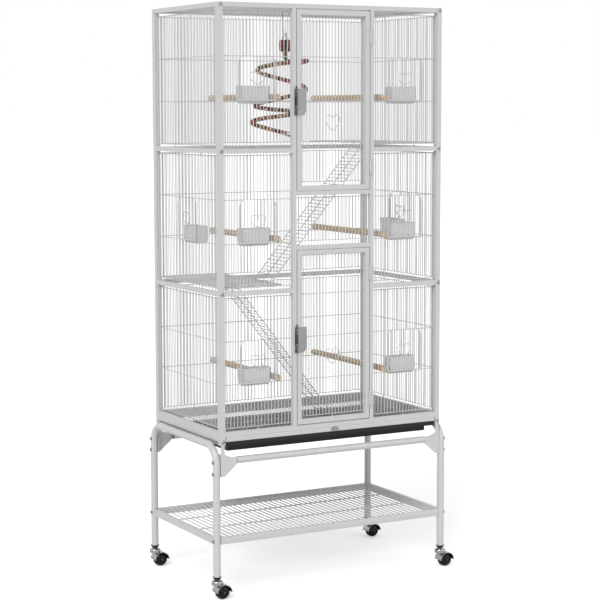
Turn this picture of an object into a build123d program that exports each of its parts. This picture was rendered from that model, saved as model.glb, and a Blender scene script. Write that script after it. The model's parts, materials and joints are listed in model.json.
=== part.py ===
from build123d import *
import os
from math import cos, sin, pi, sqrt

# Tall three-tier bird cage on a wheeled stand, in millimetres.
# The origin is on the floor under the middle, +Z is up and the doors face -Y.

# Cage body
cage_width = 764.0
cage_depth = 460.0
cage_height = 1750.0
post_foot = 461.0
post_width = 15.0
post_depth = 20.0
tube_wall = 1.0
cap_thickness = 1.2

# Rails of the cage: heights of their middle lines and their sections
rail_levels = (1322.0, 907.0)
tier_rail_height = 13.6
top_rail_height = 13.0
front_rail_depth = 15.0
side_rail_width = 13.0
bottom_rail_low = 484.5
bottom_rail_height = 14.5
skirt_low = 471.2

# Wire panels
wire = 2.4
wire_panel_inset = 8.6
bay_gaps = 20
back_bay_gaps = 10
back_middle_gaps = 12
side_gaps = 19
end_wire_insets = ((10.0, 6.9), (8.2, 5.8), (9.2, 11.0))
tier_rows = 3
side_stub_place = 89.0
roof_gaps = 32
roof_rows = 3
roof_drop = 4.0

# Doors
door_half_opening = 127.4
door_post_width = 13.0
door_gap = 2.4
door_tube = 14.5
door_gaps = 20
upper_door_low = 1203.0
upper_door_high = 1734.0
lower_door_low = 501.4
lower_door_high = 1026.0
upper_door_end_insets = (11.0, 4.5)
lower_door_end_insets = (8.5, 1.5)
middle_rail_height = 12.5
middle_panel_low = 1027.5
middle_panel_high = 1201.5
middle_panel_insets = (13.0, 7.0)
heart_width = 50.0
heart_height = 48.0
upper_heart_level = 1404.0
lower_heart_level = 701.0

# Hinges
hinge_height = 47.0
hinge_pin_radius = 1.5
hinge_barrel_radius = 3.1
hinge_fit = 0.05
hinge_leaf = 1.2
hinge_leaf_width = 10.5
hinge_joint_gap = 0.4
hinge_leaf_gap = 0.4
upper_hinge_levels = (1660.0, 1272.0)
lower_hinge_levels = (953.0, 564.5)

# Latches
latch_levels = (1425.0, 719.0)
latch_height = 78.0
latch_plate_left = 122.0
latch_plate_right = 94.0
latch_plate_thickness = 1.5
latch_corner = 12.0
latch_bolt_place = 129.5
latch_bolt_radius = 1.7
latch_tip_radius = 2.1
latch_tip_height = 10.0
latch_lift = 12.0
latch_fit = 0.25
latch_stand_off = 6.0
latch_low_arm = 26.0
latch_high_arm = 70.0
latch_arm_thickness = 2.4
latch_arm_past_bolt = 1.8
latch_arm_root = 5.0
latch_rod_past_plate = 8.0
latch_spring_rise = 3.0
latch_spring_length = 26.0
latch_screw_levels = (9.0, 60.0)
keeper_screw_levels = (14.0, 74.5)
keeper_foot_rise = 3.0
keeper_foot_thickness = 1.6
keeper_prong = 1.6
keeper_left = 134.5
keeper_right = 127.8
keeper_thickness = 1.2
screw_radius = 2.6
screw_head = 1.1

# Feeder openings, their sliding doors and cups
feeder_place = 253.85
feeder_gaps = 10
feeder_overlap = 5.25
feeder_front_gap = 2.2
feeder_door_top_overlap = 1.5
feeder_corner = 22.0
feeder_heart_width = 52.0
feeder_heart_height = 40.0
feeder_heart_low = 46.0
feeder_bottom_wire = 4.0
loop_clearance = 0.6
loop_wall = 1.5
loop_height = 3.0
loop_levels = (23.5, 30.5)
cup_width = 99.0
cup_depth = 45.0
cup_below_wire = 8.0
cup_above_wire = 44.0
cup_wall = 2.0
cup_corner = 14.0
cup_base_round = 9.0
cup_taper = 3.0
seat_gap = 0.3
panel_gap = 0.4
lug_width = 8.0
lug_place = 30.0
lug_height = 4.5

# Perches
perch_radius = 9.5
perch_wire_number = 4
perch_past_panel = 1.5
perch_slot_depth = 5.5
perch_slot_clearance = 0.4

# Rope perch
rope_radius = 7.0
rope_coil_radius = 76.0
rope_coil_place = -44.0
rope_coil_drift = -5.0
rope_coil_top = 1595.0
rope_drop_per_half_turn = 40.0
rope_sway = 15.0
rope_first_half_turns = 0.3
rope_last_half_turns = 5.8
rope_hang_x = -40.0
rope_end_run = 14.0
rope_whipping_radius = 17.0
rope_whipping_low = 1618.0
rope_whipping_high = 1650.0
rope_cap_radius = 8.0
rope_cap_high = 1675.0
hook_radius = 1.5
ferrule_length = 20.0
ferrule_wall = 1.2

# Platforms and ramps
platform_edge = 165.0
platform_outer = 366.0
platform_half_depth = 207.0
platform_thickness = 3.0
platform_columns = 16
platform_rows = 4
platform_hook_lip = 6.0
ramp_width = 115.0
ramp_thickness = 2.4
ramp_wire = 2.4
ramp_columns = 2
ramp_rung_pitch = 13.0
ramp_hook_width = 6.0
ramp_hook_clearance = 1.2
ramp_hang = 4.0
upper_ramp_middle = -122.5
lower_ramp_middle = 22.5
upper_ramp_foot = -186.0
lower_ramp_foot = 115.0
lower_ramp_hang = -238.0

# Floor grate, tray and their runners
runner_width = 12.0
runner_thickness = 1.5
runner_grate_level = 473.0
runner_tray_level = 457.5
slide_gap = 0.3
grate_thickness = 2.4
grate_columns = 32
grate_rows = 4
grate_half_width = 364.0
grate_back = 207.0
strip_thickness = 2.0
tray_half_width = 346.0
tray_bottom = 438.5
tray_wall = 2.0
tray_flange = 1.5
tray_lip_height = 13.0
tray_lip_thickness = 4.0
tray_set_back = 30.0
tray_latch_place = 2.0
tray_latch_level = 480.0
tray_latch_radius = 4.5
tray_latch_reach = 14.0
tray_latch_height = 12.4
tray_latch_shift = 1.75
tray_latch_drop = 2.4
tray_latch_plate = 1.5
rivet_radius = 1.5
rivet_fit = 0.08
rivet_head_radius = 2.4
rivet_head_height = 1.0

# Stand
leg_place_x = 393.8
leg_place_y = 222.0
leg_radius = 11.0
leg_wall = 1.2
leg_top = 458.0
leg_bend_radius = 56.0
leg_bottom = 68.5
brace_level = 413.5
brace_radius = 10.5
brace_end = 328.0
gusset_thickness = 2.0
gusset_low = 367.0
gusset_high = 435.0
gusset_tab_width = 12.0
gusset_tab_top = 480.0
gusset_flange_depth = 18.0
gusset_foot_width = 12.0
gusset_bow = 5.0
shelf_level = 175.5
shelf_bar_height = 21.0
shelf_bar_depth = 12.0
shelf_columns = 32
shelf_rows = 4
shelf_wire = 3.0

# Bolts
bolt_radius = 2.4
bolt_clearance = 0.2
bolt_head_radius = 5.75
bolt_head_height = 2.4
bolt_socket_radius = 3.0
bolt_socket_depth = 1.6
foot_bolt_level = 471.0
insert_length = 14.0
insert_clearance = 0.1
nut_radius = 4.5
nut_height = 4.0
leg_bolt_levels = (411.5, 376.5, 175.5)

# Casters
wheel_radius = 21.5
wheel_dome_depth = 18.5
wheel_web_gap = 0.5
wheel_tread = 1.5
caster_trail = 17.0
caster_stem_radius = 4.0
caster_stem_fit = 0.08
caster_dome_radius = 17.0
caster_dome_low = 45.0
caster_dome_high = 58.0
hood_radius = 24.5
hood_half_width = 3.5
hood_clearance = 1.2
axle_boss = 2.0
dome_round = 6.0
axle_radius = 2.5
axle_fit = 0.06
axle_half_length = 16.0
socket_collar_radius = 13.5
socket_collar_low = 60.0
socket_plug_length = 24.0
socket_plug_clearance = 0.1

# The cage stands off the middle of the whole by half of what the casters reach out further on the right
right_reach = leg_place_x + caster_trail + hood_radius
left_reach = leg_place_x + leg_radius + bolt_head_height
origin_shift = Location(((left_reach - right_reach) / 2, 0, 0))

half_width = cage_width / 2
half_depth = cage_depth / 2
post_x = half_width - post_width / 2
post_y = half_depth - post_depth / 2
post_inner_x = half_width - post_width
post_inner_y = half_depth - post_depth
door_post_outer = door_half_opening + door_post_width
top_rail_low = cage_height - top_rail_height
bottom_rail_high = bottom_rail_low + bottom_rail_height
panel_front = half_depth - wire_panel_inset
panel_back = panel_front - wire
side_panel_outer = half_width - wire_panel_inset + 0.6
side_panel_inner = side_panel_outer - wire
bay_width = post_inner_x - door_post_outer
bay_pitch = bay_width / bay_gaps

# Each tier as the top of the rail under it and the bottom of the rail over it, from the lowest up
tier_spans = (
    (bottom_rail_high, rail_levels[1] - tier_rail_height / 2),
    (rail_levels[1] + tier_rail_height / 2, rail_levels[0] - tier_rail_height / 2),
    (rail_levels[0] + tier_rail_height / 2, top_rail_low),
)


def even_steps(low, high, count):
    """The ends and the even divisions of a stretch."""
    return [low + (high - low) * step / count for step in range(count + 1)]


def tier_wire_levels(tier):
    """Heights of the four level wires of one tier."""
    low, high = tier_spans[tier]
    low_inset, high_inset = end_wire_insets[tier]
    return even_steps(low + low_inset, high - high_inset, tier_rows)


def wall_plane(wall, distance):
    """A plane on one wall of the cage: its x runs along the wall, its y is up and it faces out."""
    facings = {
        "front": ((1, 0, 0), (0, -1, 0)),
        "back": ((-1, 0, 0), (0, 1, 0)),
        "left": ((0, -1, 0), (-1, 0, 0)),
        "right": ((0, 1, 0), (1, 0, 0)),
    }
    along, out = facings[wall]
    return Plane(origin=Vector(*out) * distance, x_dir=along, z_dir=out)


def save(label, pieces):
    """Writes a node as one group of separate solids, moved from the cage's middle to the part's origin."""
    group = Compound(label=label, children=[piece.moved(origin_shift) for piece in pieces])
    export_step(group, f"parts/{label}.step")


def block(low, high):
    """A plain block between two corners."""
    size = [top - bottom for bottom, top in zip(low, high)]
    centre = [(top + bottom) / 2 for bottom, top in zip(low, high)]
    with BuildPart() as piece:
        with Locations(tuple(centre)):
            Box(*size)
    return piece.part


def square_tube(low, high, run, closed_end=0.0):
    """A hollow bar between two corners, open along one axis, with an optional closed upper end."""
    size = [top - bottom for bottom, top in zip(low, high)]
    centre = [(top + bottom) / 2 for bottom, top in zip(low, high)]
    bore = [length - 2 * tube_wall for length in size]
    bore_centre = list(centre)
    axis = "XYZ".index(run)
    bore[axis] = size[axis] - closed_end
    bore_centre[axis] = centre[axis] - closed_end / 2
    with BuildPart() as piece:
        with Locations(tuple(centre)):
            Box(*size)
        with Locations(tuple(bore_centre)):
            Box(*bore, mode=Mode.SUBTRACT)
    return piece.part


def drilled(blank, places, plane, radius, depth):
    """A piece with round holes along the normal of a plane, through the given depth to both sides."""
    with BuildPart() as piece:
        add(blank)
        with BuildSketch(plane):
            with Locations(*places):
                Circle(radius)
        extrude(amount=depth, both=True, mode=Mode.SUBTRACT)
    return piece.part


def heart_face(width, height):
    """A heart with its point at the origin and its lobes up."""
    lobe = width / 4
    shoulder = height - lobe
    with BuildSketch() as heart:
        with BuildLine():
            left = ThreePointArc((0, shoulder), (-lobe, height), (-2 * lobe, shoulder))
            Spline(left @ 1, (-width * 0.4, height * 0.36), (0, 0), tangents=((0, -1), (0.75, -1)))
            Spline((0, 0), (width * 0.4, height * 0.36), (2 * lobe, shoulder), tangents=((0.75, 1), (0, 1)))
            ThreePointArc((2 * lobe, shoulder), (lobe, height), (0, shoulder))
        make_face()
    return heart.sketch


def heart_ring(plane, place, width, height, thickness):
    """A flat heart-shaped ring on a plane, its point at a place."""
    with BuildPart() as piece:
        with BuildSketch(plane):
            with Locations(place):
                add(heart_face(width, height))
            with Locations((place[0], place[1] + 1.35 * wire)):
                add(heart_face(width - 2 * wire, height - 2.2 * wire), mode=Mode.SUBTRACT)
        extrude(amount=thickness)
    return piece.part


def outline_with_stubs(left, right, low, high, stubs, stub_span):
    """The corners of a panel's outline, with short wires out of its lower and upper edges."""
    corners = [(left, low)]
    for place in stubs:
        for x in (place - wire / 2, place + wire / 2):
            ends = [(x, low), (x, stub_span[0])]
            corners += ends if x < place else ends[::-1]
    corners += [(right, low), (right, high)]
    for place in reversed(stubs):
        for x in (place + wire / 2, place - wire / 2):
            ends = [(x, high), (x, stub_span[1])]
            corners += ends if x > place else ends[::-1]
    corners.append((left, high))
    return corners


def rectangle_corners(left, right, low, high):
    return [(left, low), (right, low), (right, high), (left, high)]


def net(plane, columns, levels, thickness=wire, opening=None, stubs=(), stub_span=None):
    """A flat panel of crossed wires, as one holed face drawn thick.

    columns lists the stretches of the panel as start, end and number of gaps; levels are the cross
    wires; opening is the start, end and row of a larger gap; stubs are short wires to the rails.
    """
    half_wire = wire / 2
    gaps = []
    for row, (low, high) in enumerate(zip(levels, levels[1:])):
        for start, end, count in columns:
            posts = even_steps(start, end, count)
            for left, right in zip(posts, posts[1:]):
                if opening and row == opening[2] and opening[0] < (left + right) / 2 < opening[1]:
                    continue
                gaps.append(rectangle_corners(left + half_wire, right - half_wire, low + half_wire, high - half_wire))
    if opening:
        low, high = levels[opening[2]], levels[opening[2] + 1]
        gaps.append(
            rectangle_corners(opening[0] + half_wire, opening[1] - half_wire, low + half_wire, high - half_wire)
        )
    left, right = columns[0][0], columns[-1][1]
    outline = outline_with_stubs(left, right, levels[0] - half_wire, levels[-1] + half_wire, stubs, stub_span)

    def closed_wire(corners):
        return Wire.make_polygon([plane.from_local_coords(Vector(x, y, 0)) for x, y in corners])

    holed_face = Face(closed_wire(outline), [closed_wire(gap) for gap in gaps])
    with BuildPart() as panel:
        extrude(holed_face, amount=thickness, dir=plane.z_dir)
    return panel.part


def feeder_door(wall, wall_distance, place, tier, pitch):
    """A sliding wire door over a feeder opening, with loops round the wires beside it."""
    levels = tier_wire_levels(tier)
    low = levels[1]
    high = levels[2] + feeder_door_top_overlap
    half_opening = feeder_gaps * pitch / 2
    half_door = half_opening + feeder_overlap
    face = wall_distance + feeder_front_gap
    plane = wall_plane(wall, face)
    slot_height = high - low - feeder_bottom_wire - wire
    inner_reach = feeder_front_gap + wire + loop_clearance + loop_wall
    with BuildPart() as door:
        with BuildSketch(plane):
            with Locations((place, (low + high) / 2)):
                outline = Rectangle(2 * half_door, high - low)
            fillet(outline.vertices().group_by(Axis.Y)[-1], feeder_corner)
            with Locations((place, low + feeder_bottom_wire + slot_height / 2)):
                with GridLocations(pitch, 1, feeder_gaps, 1):
                    Rectangle(pitch - wire, slot_height, mode=Mode.SUBTRACT)
        extrude(amount=wire)
        with BuildSketch(plane):
            with Locations((place, (low + high) / 2)):
                rim = Rectangle(2 * half_door, high - low)
            fillet(rim.vertices().group_by(Axis.Y)[-1], feeder_corner)
            offset(rim, -wire, mode=Mode.SUBTRACT)
        extrude(amount=wire)
        add(heart_ring(plane, (place, low + feeder_heart_low), feeder_heart_width, feeder_heart_height, wire))
        for side in (-1, 1):
            wire_place = place + side * half_opening
            for level in loop_levels:
                with BuildSketch(plane.offset(-inner_reach)):
                    with Locations((wire_place, low + level)):
                        Rectangle(wire + 2 * (loop_clearance + loop_wall), loop_height)
                extrude(amount=inner_reach)
                with BuildSketch(plane.offset(loop_wall - inner_reach)):
                    with Locations((wire_place, low + level)):
                        Rectangle(wire + 2 * loop_clearance, loop_height)
                extrude(amount=inner_reach - loop_wall, mode=Mode.SUBTRACT)
    return door.part


def feeder_cup(wall, wall_distance, place, tier):
    """A moulded cup that hangs by two lugs on the level wire under a feeder opening."""
    wire_level = tier_wire_levels(tier)[1]
    base = wall_plane(wall, wall_distance - wire - panel_gap)
    origin = base.from_local_coords((place, wire_level + cup_above_wire, 0))
    rim_plane = Plane(origin=origin, x_dir=base.x_dir, z_dir=(0, 0, 1))
    height = cup_above_wire + cup_below_wire
    with BuildPart() as hollow:
        with BuildSketch(rim_plane):
            with Locations((0, cup_depth / 2)):
                mouth = Rectangle(cup_width - 2 * cup_wall, cup_depth - 2 * cup_wall)
            fillet(mouth.vertices(), cup_corner - cup_wall)
        extrude(amount=cup_wall - height, taper=cup_taper)
        fillet(hollow.faces().sort_by(Axis.Z)[0].edges(), cup_base_round - cup_wall)
    with BuildPart() as cup:
        with BuildSketch(rim_plane):
            with Locations((0, cup_depth / 2)):
                outline = Rectangle(cup_width, cup_depth)
            fillet(outline.vertices(), cup_corner)
        extrude(amount=-height, taper=cup_taper)
        fillet(cup.faces().sort_by(Axis.Z)[0].edges(), cup_base_round)
        add(hollow.part, mode=Mode.SUBTRACT)
        lug_low = wire_level + wire / 2 + seat_gap
        lug_reach = panel_gap + wire * 0.6
        for side in (-1, 1):
            with BuildSketch(base.offset(-cup_wall * 1.5)):
                with Locations((place + side * lug_place, lug_low + lug_height / 2)):
                    Rectangle(lug_width, lug_height)
            extrude(amount=cup_wall * 1.5 + lug_reach)
    return cup.part


def cylinder_between(start, end, radius, bore=0.0):
    """A round bar or tube from one point to another."""
    axis = Vector(*end) - Vector(*start)
    with BuildPart() as piece:
        with BuildSketch(Plane(origin=start, z_dir=axis)):
            Circle(radius)
            if bore:
                Circle(bore, mode=Mode.SUBTRACT)
        extrude(amount=axis.length)
    return piece.part


def ring_bolt(head_face, direction, reach):
    """A button-head bolt with a socket, its head resting on a face and its shank running on from it."""
    into = Vector(*direction)
    with BuildPart() as bolt:
        with BuildSketch(Plane(origin=head_face, z_dir=into)):
            Circle(bolt_radius)
        extrude(amount=reach)
        with BuildSketch(Plane(origin=head_face, z_dir=-into)):
            Circle(bolt_head_radius)
        extrude(amount=bolt_head_height)
        chamfer(bolt.faces().filter_by(GeomType.PLANE).sort_by(Axis(head_face, direction))[0].edges(), 0.8)
        with BuildSketch(Plane(origin=Vector(*head_face) - into * bolt_head_height, z_dir=into)):
            RegularPolygon(bolt_socket_radius, 6)
        extrude(amount=bolt_socket_depth, mode=Mode.SUBTRACT)
    return bolt.part


os.makedirs("parts", exist_ok=True)

# Front and back frames
bolt_levels = (cage_height - top_rail_height / 2, *rail_levels, foot_bolt_level)
front_plane = wall_plane("front", 0)


def corner_post(side, face):
    """One corner post: open foot, closed top, cross holes for the corner bolts."""
    x = side * post_x
    y = face * post_y
    blank = square_tube(
        (x - post_width / 2, y - post_depth / 2, post_foot),
        (x + post_width / 2, y + post_depth / 2, cage_height),
        "Z",
        cap_thickness,
    )
    places = [(x, level) for level in bolt_levels]
    return drilled(blank, places, front_plane, bolt_radius + bolt_clearance, half_depth + post_depth)


def front_rail(x_low, x_high, z_low, z_high, face):
    """One level rail of the front or back frame."""
    outer = face * half_depth
    inner = face * (half_depth - front_rail_depth)
    return square_tube((x_low, min(outer, inner), z_low), (x_high, max(outer, inner), z_high), "X")


def tier_rail_span(level):
    return level - tier_rail_height / 2, level + tier_rail_height / 2


front_pieces = [corner_post(side, -1) for side in (-1, 1)]
front_pieces.append(front_rail(-post_inner_x, post_inner_x, top_rail_low, cage_height, -1))
front_pieces.append(front_rail(-post_inner_x, post_inner_x, bottom_rail_low, bottom_rail_high, -1))
for side in (-1, 1):
    near = side * door_half_opening
    far = side * door_post_outer
    front_pieces.append(
        square_tube(
            (min(near, far), -half_depth, bottom_rail_high),
            (max(near, far), front_rail_depth - half_depth, top_rail_low),
            "Z",
        )
    )
    for level in rail_levels:
        inner_end = side * door_post_outer
        outer_end = side * post_inner_x
        front_pieces.append(front_rail(min(inner_end, outer_end), max(inner_end, outer_end), *tier_rail_span(level), -1))
for low in (middle_panel_low, middle_panel_high - middle_rail_height):
    front_pieces.append(front_rail(-door_half_opening, door_half_opening, low, low + middle_rail_height, -1))
save("front_frame", front_pieces)

back_pieces = [corner_post(side, 1) for side in (-1, 1)]
back_pieces.append(front_rail(-post_inner_x, post_inner_x, top_rail_low, cage_height, 1))
back_pieces.append(front_rail(-post_inner_x, post_inner_x, skirt_low, bottom_rail_high, 1))
for level in rail_levels:
    back_pieces.append(front_rail(-post_inner_x, post_inner_x, *tier_rail_span(level), 1))
save("back_frame", back_pieces)

# Side frames: four rails between the corner posts, threaded plugs in their ends, and the runners
side_rail_spans = [
    (top_rail_low, cage_height),
    tier_rail_span(rail_levels[0]),
    tier_rail_span(rail_levels[1]),
    (skirt_low, bottom_rail_high),
]


def side_rail(side, low, high):
    outer = side * half_width
    inner = side * (half_width - side_rail_width)
    return square_tube((min(outer, inner), -post_inner_y, low), (max(outer, inner), post_inner_y, high), "Y")


def rail_insert(side, face, level, height):
    """A threaded plug in the end of a side rail."""
    margin = tube_wall + insert_clearance
    outer = half_width - margin
    inner = half_width - side_rail_width + margin
    half_height = height / 2 - margin
    blank = block(
        (min(side * outer, side * inner), min(face * post_inner_y, face * (post_inner_y - insert_length)), level - half_height),
        (max(side * outer, side * inner), max(face * post_inner_y, face * (post_inner_y - insert_length)), level + half_height),
    )
    return drilled(blank, [(side * post_x, level)], front_plane, bolt_radius + 0.1, half_depth)


def side_runner(side):
    """The folded runner inside a skirt: an upper ledge for the grate and a lower one for the tray."""
    skirt_inner = half_width - side_rail_width
    tip = skirt_inner - runner_width
    with BuildPart() as runner:
        with BuildSketch(wall_plane("back", -post_inner_y)):
            for low, high, start, end in (
                (runner_tray_level - runner_thickness, runner_grate_level, skirt_inner - runner_thickness, skirt_inner),
                (runner_tray_level - runner_thickness, runner_tray_level, tip, skirt_inner),
                (runner_grate_level - runner_thickness, runner_grate_level, tip, skirt_inner),
            ):
                with Locations((-side * (start + end) / 2, (low + high) / 2)):
                    Rectangle(end - start, high - low)
        extrude(amount=2 * post_inner_y)
    return runner.part


for side, name in ((-1, "left"), (1, "right")):
    pieces = [side_rail(side, low, high) for low, high in side_rail_spans]
    for face in (-1, 1):
        for low, high in side_rail_spans[:3]:
            pieces.append(rail_insert(side, face, (low + high) / 2, high - low))
    pieces.append(side_runner(side))
    save(f"{name}_frame", pieces)

# Wire panels of the walls and the roof
feeder_half_opening = feeder_gaps * bay_pitch / 2
front_panels = []
for tier, (rail_top, rail_bottom) in enumerate(tier_spans):
    levels = tier_wire_levels(tier)
    for side in (-1, 1):
        start, end = sorted((side * door_post_outer, side * post_inner_x))
        hole = (side * feeder_place - feeder_half_opening, side * feeder_place + feeder_half_opening, 1)
        bay_middle = (start + end) / 2
        front_panels.append(
            net(
                wall_plane("front", panel_back),
                [(start, end, bay_gaps)],
                levels,
                opening=hole,
                stubs=[bay_middle],
                stub_span=(rail_top, rail_bottom),
            )
        )
middle_low = middle_panel_low + middle_rail_height
middle_high = middle_panel_high - middle_rail_height
front_panels.append(
    net(
        wall_plane("front", panel_back),
        [(-door_half_opening, door_half_opening, door_gaps + 2)],
        [middle_low + middle_panel_insets[0], middle_high - middle_panel_insets[1]],
        stubs=[0],
        stub_span=(middle_low, middle_high),
    )
)
save("front_wires", front_panels)

back_columns = [
    (-post_inner_x, -door_post_outer, back_bay_gaps),
    (-door_post_outer, door_post_outer, back_middle_gaps),
    (door_post_outer, post_inner_x, back_bay_gaps),
]
bay_middle = (door_post_outer + post_inner_x) / 2
save(
    "back_wires",
    [
        net(
            wall_plane("back", panel_back),
            back_columns,
            tier_wire_levels(tier),
            stubs=[-bay_middle, bay_middle],
            stub_span=span,
        )
        for tier, span in enumerate(tier_spans)
    ],
)

side_pitch = 2 * post_inner_y / side_gaps
side_door_pitch = side_pitch / 2
side_half_opening = feeder_gaps * side_door_pitch / 2
middle_tier = 1
for name in ("left", "right"):
    pieces = []
    for tier, span in enumerate(tier_spans):
        hole = (-side_half_opening, side_half_opening, 1) if tier == middle_tier else None
        pieces.append(
            net(
                wall_plane(name, side_panel_inner),
                [(-post_inner_y, post_inner_y, side_gaps)],
                tier_wire_levels(tier),
                opening=hole,
                stubs=[-side_stub_place, side_stub_place],
                stub_span=span,
            )
        )
    save(f"{name}_wires", pieces)

roof_half_depth = half_depth - front_rail_depth
with BuildPart() as roof_wires:
    add(
        net(
            Plane.XY.offset(cage_height - roof_drop - wire),
            [(-post_inner_x, post_inner_x, roof_gaps)],
            even_steps(-roof_half_depth + wire / 2, roof_half_depth - wire / 2, roof_rows),
        )
    )
save("roof_wires", [roof_wires.part])

# Swinging doors
door_half_width = door_half_opening - door_gap


def door_frame(low, high):
    """The four tubes of a door: two stiles over the full height and two rails between them."""
    outer = -half_depth
    inner = front_rail_depth - half_depth
    stile = door_half_width - door_tube
    pieces = []
    for side in (-1, 1):
        start, end = sorted((side * stile, side * door_half_width))
        pieces.append(square_tube((start, outer, low), (end, inner, high), "Z"))
    for rail in (low, high - door_tube):
        pieces.append(square_tube((-stile, outer, rail), (stile, inner, rail + door_tube), "X"))
    return pieces


def door_panel(low, high, insets, tier, heart_level):
    """The wires of a door, at the same heights as the cage's, with a heart on their front."""
    stile = door_half_width - door_tube
    first = low + door_tube + insets[0]
    last = high - door_tube - insets[1]
    shared = [level for level in tier_wire_levels(tier) if first + bay_pitch < level < last - bay_pitch]
    columns = [(-stile, stile, door_gaps)]
    plane = wall_plane("front", panel_back)
    stub_span = (low + door_tube, high - door_tube)
    with BuildPart() as panel:
        add(net(plane, columns, [first, *shared, last], stubs=[0], stub_span=stub_span))
        heart_low = heart_level - heart_height / 2
        add(heart_ring(plane.offset(wire / 2), (0, heart_low), heart_width, heart_height, wire * 1.25))
    return panel.part


top_tier = 2
low_tier = 0
save("upper_door_frame", door_frame(upper_door_low, upper_door_high))
save("lower_door_frame", door_frame(lower_door_low, lower_door_high))
upper_door_wires = door_panel(upper_door_low, upper_door_high, upper_door_end_insets, top_tier, upper_heart_level)
save("upper_door_wires", [upper_door_wires])
lower_door_wires = door_panel(lower_door_low, lower_door_high, lower_door_end_insets, low_tier, lower_heart_level)
save("lower_door_wires", [lower_door_wires])

# Hinges on the front of the gap: two outer knuckles on the post, one between them on the door
hinge_x = door_half_opening - door_gap / 2
hinge_y = -half_depth - hinge_barrel_radius - 0.1
knuckle_height = hinge_height / 3


def hinge_half(level, side, knuckles):
    """One half of a hinge: a leaf on the frame and its knuckles round the pin."""
    low = level - hinge_height / 2
    near = hinge_x + side * (hinge_barrel_radius + hinge_leaf_gap)
    leaf_start, leaf_end = sorted((near, near + side * hinge_leaf_width))
    with BuildPart() as half:
        for knuckle in knuckles:
            knuckle_low = low + knuckle * knuckle_height + hinge_joint_gap / 2
            tall = knuckle_height - hinge_joint_gap
            with BuildSketch(Plane.XY.offset(knuckle_low)):
                with Locations((hinge_x, hinge_y)):
                    Circle(hinge_barrel_radius)
                bridge_end = near + side * hinge_leaf
                with Locations(((hinge_x + bridge_end) / 2, -half_depth - hinge_leaf / 2)):
                    Rectangle(abs(bridge_end - hinge_x), hinge_leaf)
            extrude(amount=tall)
        with Locations(((leaf_start + leaf_end) / 2, -half_depth - hinge_leaf / 2, level)):
            Box(leaf_end - leaf_start, hinge_leaf, hinge_height - hinge_joint_gap)
        with BuildSketch(Plane.XY.offset(low)):
            with Locations((hinge_x, hinge_y)):
                Circle(hinge_pin_radius + hinge_fit)
        extrude(amount=hinge_height, mode=Mode.SUBTRACT)
    return half.part


post_hinges = []
for level in (*upper_hinge_levels, *lower_hinge_levels):
    low = level - hinge_height / 2
    post_hinges.append(hinge_half(level, 1, (0, 2)))
    post_hinges.append(cylinder_between((hinge_x, hinge_y, low), (hinge_x, hinge_y, low + hinge_height), hinge_pin_radius))
save("post_hinges_and_pins", post_hinges)
save("upper_door_hinge_leaves", [hinge_half(level, -1, (1,)) for level in upper_hinge_levels])
save("lower_door_hinge_leaves", [hinge_half(level, -1, (1,)) for level in lower_hinge_levels])

# Latches: a plate with guide arms on the door, a bolt that lifts in them and a keeper on the post
latch_face = half_depth + latch_plate_thickness
bolt_y = -latch_face - latch_stand_off / 2 - 1
arm_depth = latch_stand_off + keeper_foot_thickness
keeper_face = half_depth + keeper_thickness


def screw(x, y, z):
    """A round-head screw standing on a plate."""
    with BuildPart() as piece:
        with BuildSketch(Plane(origin=(x, y, z), z_dir=(0, -1, 0))):
            Circle(screw_radius)
        extrude(amount=screw_head)
        fillet(piece.faces().sort_by(Axis.Y)[0].edges(), screw_head * 0.6)
    return piece.part


def latch_plate(low):
    """The plate on the door's stile with two arms that guide the bolt over the post."""
    plane = wall_plane("front", half_depth)
    arm_right = -latch_plate_left + latch_arm_root
    arm_left = -latch_bolt_place - latch_bolt_radius - latch_arm_past_bolt
    with BuildPart() as plate:
        with BuildSketch(plane):
            with Locations(((-latch_plate_left - latch_plate_right) / 2, low + latch_height / 2)):
                outline = Rectangle(latch_plate_left - latch_plate_right, latch_height)
            right_corners = outline.vertices().group_by(Axis.X)[-1].sort_by(Axis.Y)
            chamfer(right_corners[0], latch_corner)
            fillet(right_corners[1], latch_corner / 2)
        extrude(amount=latch_plate_thickness)
        for level in (low + latch_low_arm, low + latch_high_arm):
            with BuildSketch(plane.offset(latch_plate_thickness)):
                with Locations(((arm_left + arm_right) / 2, level)):
                    Rectangle(arm_right - arm_left, latch_arm_thickness)
            extrude(amount=arm_depth)
        with BuildSketch(Plane.XY.offset(low)):
            with Locations((-latch_bolt_place, bolt_y)):
                Circle(latch_bolt_radius + latch_fit)
        extrude(amount=latch_height, mode=Mode.SUBTRACT)
    return plate.part


def latch_bolt(low):
    """The lifting bolt: a thick tip in the keeper, a rod through the arms, a knob and a coiled spring."""
    spring_low = low + latch_low_arm + latch_spring_rise
    with BuildPart() as bolt:
        with BuildSketch(Plane.XY.offset(low)):
            with Locations((-latch_bolt_place, bolt_y)):
                Circle(latch_tip_radius)
        extrude(amount=latch_tip_height)
        with BuildSketch(Plane.XY.offset(low)):
            with Locations((-latch_bolt_place, bolt_y)):
                Circle(latch_bolt_radius)
        extrude(amount=latch_height + latch_rod_past_plate)
        with BuildSketch(Plane.XY.offset(spring_low)):
            with Locations((-latch_bolt_place, bolt_y)):
                Circle(latch_tip_radius)
        extrude(amount=latch_spring_length)
    return bolt.part


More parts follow.
